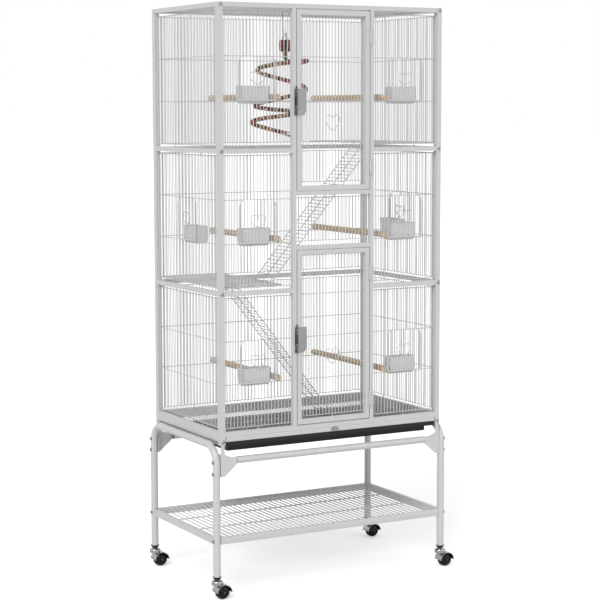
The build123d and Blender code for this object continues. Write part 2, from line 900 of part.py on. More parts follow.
def latch_keeper(low):
    """The strip on the post with a foot that holds the bolt's tip in a notch open to the front."""
    plane = wall_plane("front", half_depth)
    foot_low = low + keeper_foot_rise
    foot_left = -keeper_left
    foot_right = -door_half_opening + keeper_prong
    notch = latch_tip_radius + latch_fit
    with BuildPart() as keeper:
        with BuildSketch(plane):
            with Locations(((-keeper_left - keeper_right) / 2, low + latch_height / 2)):
                Rectangle(keeper_left - keeper_right, latch_height)
        extrude(amount=keeper_thickness)
        with BuildSketch(Plane.XY.offset(foot_low)):
            foot_front = bolt_y - keeper_prong
            with Locations(((foot_left + foot_right) / 2, (foot_front - half_depth) / 2)):
                Rectangle(foot_right - foot_left, abs(foot_front + half_depth))
            with Locations((-latch_bolt_place, bolt_y)):
                Circle(notch, mode=Mode.SUBTRACT)
            with Locations((-latch_bolt_place, bolt_y - notch)):
                Rectangle(2 * notch, 2 * notch, mode=Mode.SUBTRACT)
        extrude(amount=keeper_foot_thickness)
    return keeper.part


keepers = []
for low, name in zip(latch_levels, ("upper", "lower")):
    plate_pieces = [latch_plate(low)]
    for level in latch_screw_levels:
        plate_pieces.append(screw(-latch_plate_right - latch_corner, -latch_face, low + level))
    save(f"{name}_latch_plate", plate_pieces)
    save(f"{name}_latch_bolt", [latch_bolt(low)])
    keepers.append(latch_keeper(low))
    for level in keeper_screw_levels:
        keepers.append(screw(-(keeper_left + keeper_right) / 2, -keeper_face, low + level))
save("latch_keepers", keepers)

# Feeder doors and cups: three tiers on both sides of the front, and one in the middle of each side wall
tier_names = ("lower", "middle", "upper")
feeders = []
for tier, tier_name in enumerate(tier_names):
    for side, side_name in ((-1, "left"), (1, "right")):
        feeders.append((f"{tier_name}_{side_name}", "front", panel_front, side * feeder_place, tier, bay_pitch))
for side_name in ("left", "right"):
    feeders.append((f"{side_name}_side", side_name, side_panel_outer, 0.0, middle_tier, side_door_pitch))
for name, wall, distance, place, tier, pitch in feeders:
    save(f"{name}_feeder_door", [feeder_door(wall, distance, place, tier, pitch)])
    save(f"{name}_cup", [feeder_cup(wall, distance, place, tier)])

# Perches: dowels from front to back, a slot in each end over an upright wire
perch_x = door_post_outer + perch_wire_number * bay_pitch
perch_end = panel_front + perch_past_panel


def perch(side, tier):
    level = tier_wire_levels(tier)[1] + wire / 2 + seat_gap + perch_radius
    slot = wire + 2 * perch_slot_clearance
    with BuildPart() as dowel:
        with BuildSketch(Plane(origin=(side * perch_x, -perch_end, level), z_dir=(0, 1, 0))):
            Circle(perch_radius)
        extrude(amount=2 * perch_end)
        with Locations(*[(side * perch_x, face * (perch_end - perch_slot_depth / 2), level) for face in (-1, 1)]):
            Box(slot, perch_slot_depth, 3 * perch_radius, mode=Mode.SUBTRACT)
    return dowel.part


save("perches", [perch(side, tier) for tier in range(3) for side in (-1, 1)])


# Rope perch: a stiff rope wound in a loose spiral that hangs from the roof
def rope_point(half_turns):
    """A place on the spiral: it drifts left and sways down as it turns."""
    x = rope_coil_place + rope_coil_drift * half_turns + rope_coil_radius * cos(pi * half_turns)
    y = -rope_coil_radius * sin(pi * half_turns)
    z = rope_coil_top - rope_drop_per_half_turn * half_turns + rope_sway * sin(pi * half_turns / 2)
    return Vector(x, y, z)


def rope_heading(half_turns):
    step = 0.001
    return (rope_point(half_turns + step) - rope_point(half_turns - step)).normalized()


def biarc(start, start_heading, end, end_heading):
    """Adds two arcs that leave one point and reach another along given headings."""
    chord = end - start
    turned = start_heading + end_heading
    along = chord.dot(turned)
    spread = 2 * (1 - start_heading.dot(end_heading))
    reach = (-along + sqrt(along * along + spread * chord.dot(chord))) / spread
    middle = (start + end + (start_heading - end_heading) * reach) / 2
    first = TangentArc(start, middle, tangent=start_heading)
    TangentArc(middle, end, tangent=first % 1)


rope_start = Vector(rope_hang_x, 0, rope_whipping_low)
rope_bend = rope_start - Vector(0, 0, rope_end_run)
quarter_turns = round((rope_last_half_turns - rope_first_half_turns) * 2)
rope_stops = even_steps(rope_first_half_turns, rope_last_half_turns, quarter_turns)
with BuildPart() as spiral_rope:
    with BuildLine() as rope_path:
        Line(rope_start, rope_bend)
        biarc(rope_bend, Vector(0, 0, -1), rope_point(rope_stops[0]), rope_heading(rope_stops[0]))
        for here, there in zip(rope_stops, rope_stops[1:]):
            biarc(rope_point(here), rope_heading(here), rope_point(there), rope_heading(there))
    with BuildSketch(Plane(origin=rope_start, z_dir=(0, 0, -1))):
        Circle(rope_radius)
    sweep(path=rope_path.wires()[0])
save("spiral_rope", [spiral_rope.part])
rope_samples = [rope_point(step / 40) for step in range(int(rope_first_half_turns * 40), int(rope_last_half_turns * 40))]
rope_gap = min(
    (one - other).length - 2 * rope_radius
    for index, one in enumerate(rope_samples)
    for other in rope_samples[index + 50:]
)
print("least gap between the rope's turns", round(rope_gap, 2), "mm")
rope_length = rope_path.wires()[0].length
print("rope volume over its section times its length", round(spiral_rope.part.volume / (pi * rope_radius**2 * rope_length), 4))

rope_finish = rope_point(rope_last_half_turns)
rope_finish_heading = rope_heading(rope_last_half_turns)
roof_hang = cage_height - roof_drop - wire
with BuildPart() as whipping:
    with BuildSketch(Plane.XY.offset(rope_whipping_low)):
        with Locations((rope_hang_x, 0)):
            Circle(rope_whipping_radius)
    extrude(amount=rope_whipping_high - rope_whipping_low)
    fillet(whipping.faces().filter_by(Axis.Z).edges(), 5)
with BuildPart() as hang_cap:
    with BuildSketch(Plane.XY.offset(rope_whipping_high)):
        with Locations((rope_hang_x, 0)):
            Circle(rope_cap_radius)
    extrude(amount=rope_cap_high - rope_whipping_high)
    fillet(hang_cap.faces().sort_by(Axis.Z)[-1].edges(), 4)
with BuildPart() as ferrule:
    with BuildSketch(Plane(origin=rope_finish, z_dir=rope_finish_heading)):
        Circle(rope_radius + ferrule_wall)
    extrude(amount=ferrule_length)
    fillet(ferrule.faces().sort_by(Axis.Z)[0].edges(), 2)
hook_stem = cylinder_between((rope_hang_x, 0, rope_cap_high), (rope_hang_x, 0, roof_hang), hook_radius)
save("spiral_fittings", [whipping.part, hang_cap.part, ferrule.part, hook_stem])

# Platforms on the level wires at the tier joints, and the ramps that hook over their wires
platform_plane_rows = even_steps(-platform_half_depth + wire / 2, platform_half_depth - wire / 2, platform_rows)
upper_platform_level = tier_wire_levels(2)[0] + wire / 2 + seat_gap
lower_platform_level = tier_wire_levels(1)[0] + wire / 2 + seat_gap
platform_pitch = (platform_outer - platform_edge) / platform_columns


def platform(side, level):
    """A wire deck with hooks over the level wires of three walls."""
    start, end = sorted((side * platform_edge, side * platform_outer))
    deck_top = level + platform_thickness
    lip_low = level - platform_hook_lip
    hook_step = bay_pitch / 2
    with BuildPart() as deck:
        add(net(Plane.XY.offset(level), [(start, end, platform_columns)], platform_plane_rows, platform_thickness))
        for face in (-1, 1):
            for number in (5, 15):
                x = side * (door_post_outer + number * bay_pitch + hook_step)
                arm_start = face * (platform_half_depth - 1)
                arm_end = face * (panel_front + panel_gap + wire)
                lip_start = face * (panel_front + panel_gap)
                with Locations((x, (arm_start + arm_end) / 2, level + wire / 2)):
                    Box(wire, abs(arm_end - arm_start), wire)
                with Locations((x, (lip_start + arm_end) / 2, (lip_low + level + wire) / 2)):
                    Box(wire, wire, level + wire - lip_low)
            y = face * side_pitch * 5
            arm_start = side * (platform_outer - 1)
            arm_end = side * (side_panel_outer + panel_gap + wire)
            lip_start = side * (side_panel_outer + panel_gap)
            with Locations(((arm_start + arm_end) / 2, y, level + wire / 2)):
                Box(abs(arm_end - arm_start), wire, wire)
            with Locations(((lip_start + arm_end) / 2, y, (lip_low + level + wire) / 2)):
                Box(wire, wire, level + wire - lip_low)
    return deck.part


upper_platform = platform(1, upper_platform_level)
save("upper_platform", [upper_platform])
lower_platform = platform(-1, lower_platform_level)
save("lower_platform", [lower_platform])


def ramp(bar_x, bar_half, deck_low, toward, middle_y, foot_x, foot_z):
    """A wire ramp from under a platform's bar down to a foot, with two hooks over the bar."""
    top_x = bar_x + toward * (bar_half + ramp_hook_clearance + wire)
    top_z = deck_low - ramp_hang
    run = abs(foot_x - top_x)
    rise = top_z - foot_z
    length = sqrt(run * run + rise * rise)
    uphill = Vector(-toward * run, 0, rise).normalized()
    across = Vector(0, 1, 0)
    normal = across.cross(uphill)
    top_edge = Vector(top_x, middle_y, top_z)
    lower_face = top_edge if normal.Z > 0 else top_edge - normal * ramp_thickness
    rungs = int(length / ramp_rung_pitch)
    levels = even_steps(-length + ramp_wire, -ramp_wire / 2, rungs)
    plane = Plane(origin=lower_face, x_dir=across, z_dir=normal)
    deck_top = deck_low + platform_thickness
    hook_top = deck_top + seat_gap + wire
    rise_start = top_x - toward * wire
    far = bar_x - toward * (bar_half + ramp_hook_clearance + wire)
    hook_foot = top_z - ramp_hang / 2
    with BuildPart() as piece:
        add(net(plane, [(-ramp_width / 2, ramp_width / 2, ramp_columns)], levels, ramp_thickness))
        for hand in (-1, 1):
            y = middle_y + hand * (ramp_width / 2 - ramp_hook_width)
            with Locations(((rise_start + top_x) / 2, y, (hook_foot + hook_top) / 2)):
                Box(wire, ramp_hook_width, hook_top - hook_foot)
            with Locations((top_x, y, top_z - ramp_hang / 4)):
                Box(2 * wire, ramp_hook_width, ramp_hang / 2)
            with Locations(((top_x + far) / 2, y, hook_top - wire / 2)):
                Box(abs(top_x - far), ramp_hook_width, wire)
            with Locations((far + toward * wire / 2, y, (deck_low + hook_top) / 2)):
                Box(wire, ramp_hook_width, hook_top - deck_low)
    return piece.part


hung_wire = round((-platform_edge - lower_ramp_hang) / platform_pitch)
grate_top = runner_grate_level + slide_gap + grate_thickness
upper_ramp = ramp(
    platform_edge + wire / 4,
    wire / 4,
    upper_platform_level,
    -1,
    upper_ramp_middle,
    upper_ramp_foot,
    lower_platform_level + platform_thickness + seat_gap,
)
save("upper_ramp", [upper_ramp])
lower_ramp = ramp(
    -platform_edge - hung_wire * platform_pitch,
    wire / 2,
    lower_platform_level,
    1,
    lower_ramp_middle,
    lower_ramp_foot,
    grate_top + seat_gap,
)
save("lower_ramp", [lower_ramp])

# Floor grate with its front strip, and the tray under it
grate_low = runner_grate_level + slide_gap
strip_low = skirt_low
strip_high = bottom_rail_low - slide_gap
strip_face = half_depth
with BuildPart() as grate_net:
    add(
        net(
            Plane.XY.offset(grate_low),
            [(-grate_half_width, grate_half_width, grate_columns)],
            even_steps(-strip_face + strip_thickness + wire / 2, grate_back - wire / 2, grate_rows),
            grate_thickness,
        )
    )
grate_strip = block(
    (-grate_half_width, -strip_face, strip_low), (grate_half_width, strip_thickness - strip_face, strip_high)
)
with BuildPart() as latch_rivet:
    rivet_plane = wall_plane("front", strip_face)
    shank_length = seat_gap + tray_latch_plate + rivet_fit
    with BuildSketch(rivet_plane):
        with Locations((tray_latch_place, tray_latch_level)):
            Circle(rivet_radius)
    extrude(amount=shank_length)
    with BuildSketch(rivet_plane.offset(shank_length)):
        with Locations((tray_latch_place, tray_latch_level)):
            Circle(rivet_head_radius)
    extrude(amount=rivet_head_height)
save("floor_grate", [grate_net.part, grate_strip, latch_rivet.part])

tray_flange_low = runner_tray_level + slide_gap
tray_front = half_depth - tray_set_back
tray_lip_high = strip_low - slide_gap
with BuildPart() as tray:
    with Locations((0, (grate_back - tray_front) / 2, (tray_bottom + tray_flange_low + tray_flange) / 2)):
        Box(2 * tray_half_width, grate_back + tray_front, tray_flange_low + tray_flange - tray_bottom)
    flange_front = -half_depth + tray_lip_thickness
    with Locations((0, (grate_back + flange_front) / 2, tray_flange_low + tray_flange / 2)):
        Box(2 * grate_half_width, grate_back - flange_front, tray_flange)
    with Locations((0, (grate_back - tray_front) / 2, tray_bottom + tray_wall + 20)):
        Box(2 * (tray_half_width - tray_wall), grate_back + tray_front - 2 * tray_wall, 40, mode=Mode.SUBTRACT)
    with Locations((0, -half_depth + tray_lip_thickness / 2, tray_lip_high - tray_lip_height / 2)):
        Box(2 * grate_half_width, tray_lip_thickness, tray_lip_height)
save("tray", [tray.part])

# Turn latch on the grate's strip: turned down, its long end reaches over the tray's lip
with BuildPart() as tray_latch:
    latch_plane = wall_plane("front", half_depth + slide_gap)
    with BuildSketch(latch_plane):
        with Locations((tray_latch_place + tray_latch_shift, tray_latch_level - tray_latch_drop)):
            flap = Rectangle(2 * (tray_latch_reach - tray_latch_shift), tray_latch_height)
        fillet(flap.vertices(), 2)
        with Locations((tray_latch_place, tray_latch_level)):
            Circle(tray_latch_radius + tray_latch_plate)
            Circle(rivet_radius + rivet_fit, mode=Mode.SUBTRACT)
    extrude(amount=tray_latch_plate)
    with BuildSketch(latch_plane.offset(tray_latch_plate)):
        with Locations((tray_latch_place, tray_latch_level)):
            Circle(tray_latch_radius)
            Circle(rivet_head_radius + seat_gap, mode=Mode.SUBTRACT)
    extrude(amount=tray_latch_plate)
save("tray_latch", [tray_latch.part])


# Stand: one bent tube on each side with a bar across it near the floor
def leg_tube(side):
    x = side * leg_place_x
    bend = leg_bend_radius
    with BuildPart() as tube:
        with BuildLine() as route:
            start = (x, -leg_place_y, leg_bottom)
            first = Line(start, (x, -leg_place_y, leg_top - bend))
            front_bend = TangentArc(first @ 1, (x, bend - leg_place_y, leg_top), tangent=first % 1)
            top = Line(front_bend @ 1, (x, leg_place_y - bend, leg_top))
            back_bend = TangentArc(top @ 1, (x, leg_place_y, leg_top - bend), tangent=top % 1)
            Line(back_bend @ 1, (x, leg_place_y, leg_bottom))
        with BuildSketch(Plane(origin=start, z_dir=(0, 0, 1))):
            Circle(leg_radius)
            Circle(leg_radius - leg_wall, mode=Mode.SUBTRACT)
        sweep(path=route.wires()[0])
        with BuildSketch(wall_plane("right", x)):
            with Locations(*[(face * leg_place_y, level) for face in (-1, 1) for level in leg_bolt_levels]):
                Circle(bolt_radius + bolt_clearance)
        extrude(amount=2 * leg_radius, both=True, mode=Mode.SUBTRACT)
    return tube.part


bar_end_y = leg_place_y - leg_radius - seat_gap
side_bars = [
    square_tube(
        (side * leg_place_x - shelf_bar_depth / 2, -bar_end_y, shelf_level - shelf_bar_height / 2),
        (side * leg_place_x + shelf_bar_depth / 2, bar_end_y, shelf_level + shelf_bar_height / 2),
        "Y",
    )
    for side in (-1, 1)
]
save("stand_frames", [leg_tube(-1), leg_tube(1), *side_bars])

# Gussets and braces: a plate from each leg to the end of a cross tube, with a tab up into the corner post
leg_face = leg_place_x - leg_radius - seat_gap
tab_outer = half_width - tube_wall - seat_gap
tab_inner = tab_outer - gusset_tab_width + 0.5
web_out = half_depth - tube_wall - seat_gap


def gusset(side, face):
    wall = "front" if face < 0 else "back"
    hand = side if face < 0 else -side
    web_plane = wall_plane(wall, web_out - gusset_thickness)
    with BuildPart() as plate:
        with BuildSketch(web_plane):
            with BuildLine():
                foot = Line((hand * leg_face, gusset_low), (hand * (leg_face - gusset_foot_width), gusset_low))
                tip_low = (hand * brace_end, brace_level - brace_radius)
                Line(foot @ 1, tip_low)
                tip_high = (hand * brace_end, brace_level + brace_radius)
                Line(tip_low, tip_high)
                shoulder = (hand * tab_inner, gusset_high)
                bow_height = (tip_high[1] + gusset_high) / 2 - gusset_bow / 2
                bow = (hand * ((brace_end + tab_inner) / 2 + gusset_bow), bow_height)
                ThreePointArc(tip_high, bow, shoulder)
                Line(shoulder, (hand * leg_face, gusset_high))
                Line((hand * leg_face, gusset_high), (hand * leg_face, gusset_low))
            make_face()
            tab_middle = hand * (tab_outer + tab_inner) / 2
            with Locations((tab_middle, (gusset_high + gusset_tab_top) / 2 - 2)):
                Rectangle(tab_outer - tab_inner, gusset_tab_top - gusset_high + 4)
        extrude(amount=gusset_thickness)
        flange_far = web_out - gusset_flange_depth
        flange_start, flange_end = sorted((face * web_out, face * flange_far))
        low_x, high_x = sorted((side * leg_face, side * (leg_face - gusset_thickness)))
        with Locations(((low_x + high_x) / 2, (flange_start + flange_end) / 2, (gusset_low + gusset_high) / 2)):
            Box(high_x - low_x, flange_end - flange_start, gusset_high - gusset_low)
        with BuildSketch(wall_plane("right", side * leg_face)):
            with Locations(*[(face * leg_place_y, level) for level in leg_bolt_levels[:2]]):
                Circle(bolt_radius + bolt_clearance)
        extrude(amount=2 * gusset_thickness, both=True, mode=Mode.SUBTRACT)
        with BuildSketch(wall_plane("front", 0)):
            with Locations((side * post_x, foot_bolt_level)):
                Circle(bolt_radius + bolt_clearance)
        extrude(amount=half_depth, both=True, mode=Mode.SUBTRACT)
    return plate.part


stand_braces = [gusset(side, face) for side in (-1, 1) for face in (-1, 1)]
for face in (-1, 1):
    stand_braces.append(
        cylinder_between(
            (-brace_end, face * leg_place_y, brace_level),
            (brace_end, face * leg_place_y, brace_level),
            brace_radius,
            brace_radius - leg_wall,
        )
    )
save("stand_braces", stand_braces)

# Shelf: front and back bars bolted between the legs, and a deck of wires between the bars
shelf_bar_end = leg_place_x - leg_radius - seat_gap
shelf_bar_inner = leg_place_y - shelf_bar_depth / 2
shelf_pieces = []
for face in (-1, 1):
    start, end = sorted((face * shelf_bar_inner, face * (leg_place_y + shelf_bar_depth / 2)))
    shelf_pieces.append(
        square_tube(
            (-shelf_bar_end, start, shelf_level - shelf_bar_height / 2),
            (shelf_bar_end, end, shelf_level + shelf_bar_height / 2),
            "X",
        )
    )
    for side in (-1, 1):
        near = side * shelf_bar_end
        far = side * (shelf_bar_end - insert_length)
        margin = tube_wall + insert_clearance
        plug = block(
            (min(near, far), start + margin, shelf_level - shelf_bar_height / 2 + margin),
            (max(near, far), end - margin, shelf_level + shelf_bar_height / 2 - margin),
        )
        plug_place = [(face * leg_place_y, leg_bolt_levels[2])]
        shelf_pieces.append(drilled(plug, plug_place, wall_plane("right", 0), bolt_radius + 0.1, cage_width))
shelf_pieces.append(
    net(
        Plane.XY.offset(shelf_level + shelf_bar_height / 2 - 2 * shelf_wire),
        [(-shelf_bar_end, shelf_bar_end, shelf_columns)],
        even_steps(-shelf_bar_inner + wire / 2, shelf_bar_inner - wire / 2, shelf_rows),
        shelf_wire,
    )
)
save("shelf", shelf_pieces)

# Bolts and nuts
bolts = []
for side in (-1, 1):
    for face in (-1, 1):
        direction = (0, -face, 0)
        for level in bolt_levels[:3]:
            bolts.append(ring_bolt((side * post_x, face * half_depth, level), direction, post_depth + insert_length - 2))
        foot_reach = tube_wall + seat_gap + gusset_thickness + nut_height
        bolts.append(ring_bolt((side * post_x, face * half_depth, foot_bolt_level), direction, foot_reach))
        nut_start = face * (web_out - gusset_thickness)
        bolts.append(
            cylinder_between(
                (side * post_x, nut_start, foot_bolt_level),
                (side * post_x, nut_start - face * nut_height, foot_bolt_level),
                nut_radius,
                bolt_radius + 0.1,
            )
        )
        outer = side * (leg_place_x + leg_radius)
        inner_face = leg_face - gusset_thickness
        for level in leg_bolt_levels[:2]:
            reach = leg_place_x + leg_radius - inner_face + nut_height
            bolts.append(ring_bolt((outer, face * leg_place_y, level), (-side, 0, 0), reach))
            bolts.append(
                cylinder_between(
                    (side * inner_face, face * leg_place_y, level),
                    (side * (inner_face - nut_height), face * leg_place_y, level),
                    nut_radius,
                    bolt_radius + 0.1,
                )
            )
        shelf_reach = 2 * leg_radius + seat_gap + insert_length - 2
        bolts.append(ring_bolt((outer, face * leg_place_y, leg_bolt_levels[2]), (-side, 0, 0), shelf_reach))
save("bolts_and_nuts", bolts)

# Casters: a plug with a collar in each leg end, a swivelling body on a stem and a ball-like wheel
plug_radius = leg_radius - leg_wall - socket_plug_clearance


def leg_socket(side, face):
    with BuildPart() as socket:
        with BuildSketch(Plane.XZ) as section:
            with BuildLine():
                Polyline(
                    (caster_stem_radius + caster_stem_fit, socket_collar_low),
                    (caster_dome_radius * 0.5, socket_collar_low),
                    (socket_collar_radius, leg_bottom - 1),
                    (socket_collar_radius, leg_bottom),
                    (plug_radius, leg_bottom),
                    (plug_radius, leg_bottom + socket_plug_length),
                    (caster_stem_radius + caster_stem_fit, leg_bottom + socket_plug_length),
                    close=True,
                )
            make_face()
        revolve(axis=Axis.Z)
    return socket.part.moved(Location((side * leg_place_x, face * leg_place_y, 0)))


save("leg_sockets", [leg_socket(side, face) for side in (-1, 1) for face in (-1, 1)])


def caster_body(x, y):
    """The swivelling body: stem, dome, hood over the wheel and the axle through it."""
    wheel_x = x + caster_trail
    wheel_plane = Plane(origin=(wheel_x, y, wheel_radius), z_dir=(0, -1, 0), x_dir=(1, 0, 0))
    with BuildPart() as body:
        with BuildSketch(Plane(origin=(x, y, caster_dome_low))):
            Circle(caster_dome_radius)
        extrude(amount=caster_dome_high - caster_dome_low)
        fillet(body.faces().sort_by(Axis.Z)[-1].edges(), dome_round)
        with BuildSketch(Plane(origin=(x, y, caster_dome_high))):
            Circle(caster_stem_radius)
        extrude(amount=leg_bottom + socket_plug_length - caster_dome_high - 2)
        with BuildSketch(wheel_plane):
            Circle(hood_radius)
            with Locations((0, -hood_radius)):
                Rectangle(3 * hood_radius, 2 * hood_radius, mode=Mode.SUBTRACT)
        extrude(amount=wheel_dome_depth, both=True)
        with BuildSketch(wheel_plane):
            Circle(wheel_radius + hood_clearance)
        extrude(amount=2 * wheel_dome_depth, both=True, mode=Mode.SUBTRACT)
        with BuildSketch(wheel_plane):
            with Locations((0, hood_radius / 2)):
                Rectangle(2 * (axle_radius + axle_boss), hood_radius)
            Circle(axle_radius + axle_boss)
        extrude(amount=hood_half_width, both=True)
        with BuildSketch(wheel_plane):
            Circle(axle_radius)
        extrude(amount=axle_half_length, both=True)
    return body.part


def wheel_dome(x, y, hand):
    """One half of a split ball wheel: a domed disc bored for the axle, beside the body's web."""
    bore = axle_radius + axle_fit
    inner = hand * (hood_half_width + wheel_web_gap)
    shoulder = inner + hand * wheel_tread
    crown = hand * wheel_dome_depth
    with BuildPart() as dome:
        with BuildSketch(Plane.XY):
            with BuildLine():
                Line((bore, inner), (wheel_radius, inner))
                Line((wheel_radius, inner), (wheel_radius, shoulder))
                swell = ThreePointArc(
                    (wheel_radius, shoulder),
                    (wheel_radius * 0.78, shoulder + (crown - shoulder) * 0.62),
                    (bore, crown),
                )
                Line(swell @ 1, (bore, inner))
            make_face()
        revolve(axis=Axis.Y)
    return dome.part.moved(Location((x + caster_trail, y, wheel_radius)))


for side, side_name in ((-1, "left"), (1, "right")):
    for face, face_name in ((-1, "front"), (1, "back")):
        x = side * leg_place_x
        y = face * leg_place_y
        save(f"{face_name}_{side_name}_caster", [caster_body(x, y)])
        save(f"{face_name}_{side_name}_wheel", [wheel_dome(x, y, hand) for hand in (-1, 1)])
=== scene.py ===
import json
import bpy
import numpy as np
from math import radians
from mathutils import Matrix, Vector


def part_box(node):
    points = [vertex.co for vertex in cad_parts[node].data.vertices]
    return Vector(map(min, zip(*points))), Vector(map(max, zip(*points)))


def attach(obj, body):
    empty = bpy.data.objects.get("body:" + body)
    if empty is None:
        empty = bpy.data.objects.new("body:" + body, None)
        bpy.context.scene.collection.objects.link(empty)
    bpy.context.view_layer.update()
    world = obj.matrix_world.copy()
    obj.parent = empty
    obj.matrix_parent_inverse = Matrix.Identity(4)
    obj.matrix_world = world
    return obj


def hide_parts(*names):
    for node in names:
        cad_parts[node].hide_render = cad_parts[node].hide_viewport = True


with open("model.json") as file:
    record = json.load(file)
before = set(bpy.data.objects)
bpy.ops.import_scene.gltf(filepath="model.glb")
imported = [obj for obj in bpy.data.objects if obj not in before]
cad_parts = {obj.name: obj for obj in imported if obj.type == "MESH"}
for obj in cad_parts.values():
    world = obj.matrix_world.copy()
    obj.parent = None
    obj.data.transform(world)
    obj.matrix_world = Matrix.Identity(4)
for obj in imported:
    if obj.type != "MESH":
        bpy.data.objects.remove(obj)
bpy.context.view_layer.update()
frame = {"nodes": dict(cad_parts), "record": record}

# Places are in metres, from the middle of the cage, which stands a little left of the origin
front_low, front_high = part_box("front_frame")
middle_x = (front_low.x + front_high.x) / 2

wire = 0.0024
wire_radius = wire / 2
cross_set_back = 0.0018
post_inner_x = 0.367
post_inner_y = 0.210
door_post_outer = 0.1404
door_opening = 0.1274
door_stile = 0.1105
panel_y = 0.2202
side_panel_x = 0.3728
bay_gaps = 20
bay_pitch = (post_inner_x - door_post_outer) / bay_gaps
back_middle_gaps = 24
side_gaps = 38
side_pitch = 2 * post_inner_y / side_gaps
roof_gaps = 64
roof_level = 1.7448
roof_half_depth = 0.2138
feeder_x = 0.25385
feeder_gaps = 10
stub_y = 0.089
feeder_clearance = 0.0022
hook_radius = 0.0011
hook_bend = 0.0012

# Level wires of each tier from the lowest up, and the rails that each tier's short wires reach
tier_levels = (
    (0.5090, 0.6371, 0.7652, 0.8933),
    (0.9220, 1.0511, 1.1802, 1.3094),
    (1.3380, 1.4673, 1.5967, 1.7260),
)
tier_rails = ((0.4990, 0.9002), (0.9138, 1.3152), (1.3288, 1.7370))
tier_names = ("lower", "middle", "upper")


# Shared shader groups
def value_group(name, inputs, outputs):
    """An empty shader group with its inputs and outputs named."""
    group = bpy.data.node_groups.new(name, "ShaderNodeTree")
    for label, kind, default in inputs:
        group.interface.new_socket(label, in_out="INPUT", socket_type=kind).default_value = default
    for label, kind in outputs:
        group.interface.new_socket(label, in_out="OUTPUT", socket_type=kind)
    return group, group.nodes.new("NodeGroupInput"), group.nodes.new("NodeGroupOutput")


def surface_grain():
    """Fine bumps over a slow change of tone: the skin of powder coat, moulded plastic or plate."""
    group, entry, leave = value_group(
        "surface_grain",
        (
            ("Colour", "NodeSocketColor", (0.8, 0.8, 0.8, 1)),
            ("Tone", "NodeSocketFloat", 0.05),
            ("Grain Scale", "NodeSocketFloat", 900.0),
            ("Bump", "NodeSocketFloat", 0.1),
            ("Rough", "NodeSocketFloat", 0.4),
            ("Rough Change", "NodeSocketFloat", 0.1),
        ),
        (("Colour", "NodeSocketColor"), ("Roughness", "NodeSocketFloat"), ("Normal", "NodeSocketVector")),
    )
    nodes, link = group.nodes, group.links.new
    place = nodes.new("ShaderNodeTexCoord")
    patches = nodes.new("ShaderNodeTexNoise")
    patches.inputs["Scale"].default_value = 14
    patches.inputs["Detail"].default_value = 4
    link(place.outputs["Object"], patches.inputs["Vector"])
    grain = nodes.new("ShaderNodeTexNoise")
    grain.inputs["Detail"].default_value = 3
    link(place.outputs["Object"], grain.inputs["Vector"])
    link(entry.outputs["Grain Scale"], grain.inputs["Scale"])
    centred = nodes.new("ShaderNodeMath")
    centred.operation = "SUBTRACT"
    centred.inputs[1].default_value = 0.5
    link(patches.outputs["Fac"], centred.inputs[0])
    amount = nodes.new("ShaderNodeMath")
    amount.operation = "MULTIPLY_ADD"
    amount.inputs[2].default_value = 1
    link(centred.outputs[0], amount.inputs[0])
    link(entry.outputs["Tone"], amount.inputs[1])
    shade = nodes.new("ShaderNodeHueSaturation")
    link(entry.outputs["Colour"], shade.inputs["Color"])
    link(amount.outputs[0], shade.inputs["Value"])
    link(shade.outputs["Color"], leave.inputs["Colour"])
    rough = nodes.new("ShaderNodeMath")
    rough.operation = "MULTIPLY_ADD"
    link(centred.outputs[0], rough.inputs[0])
    link(entry.outputs["Rough Change"], rough.inputs[1])
    link(entry.outputs["Rough"], rough.inputs[2])
    link(rough.outputs[0], leave.inputs["Roughness"])
    bump = nodes.new("ShaderNodeBump")
    bump.inputs["Distance"].default_value = 0.0004
    link(entry.outputs["Bump"], bump.inputs["Strength"])
    link(grain.outputs["Fac"], bump.inputs["Height"])
    link(bump.outputs["Normal"], leave.inputs["Normal"])
    return group


grain_group = surface_grain()


def finish(
    name,
    colour,
    rough,
    tone=0.06,
    scale=900.0,
    bump=0.15,
    rough_change=0.12,
    metallic=0.0,
    coat=0.0,
    specular=0.5,
):
    """A material whose colour, roughness and fine bumps come from the surface grain."""
    material = bpy.data.materials.new(name)
    material.use_nodes = True
    nodes, link = material.node_tree.nodes, material.node_tree.links.new
    shader = nodes["Principled BSDF"]
    shader.inputs["Metallic"].default_value = metallic
    shader.inputs["Coat Weight"].default_value = coat
    shader.inputs["Coat Roughness"].default_value = 0.12
    shader.inputs["Specular IOR Level"].default_value = specular
    grain = nodes.new("ShaderNodeGroup")
    grain.node_tree = grain_group
    for label, value in (
        ("Colour", (*colour, 1)),
        ("Tone", tone),
        ("Grain Scale", scale),
        ("Bump", bump),
        ("Rough", rough),
        ("Rough Change", rough_change),
    ):
        grain.inputs[label].default_value = value
    link(grain.outputs["Colour"], shader.inputs["Base Color"])
    link(grain.outputs["Roughness"], shader.inputs["Roughness"])
    link(grain.outputs["Normal"], shader.inputs["Normal"])
    return material


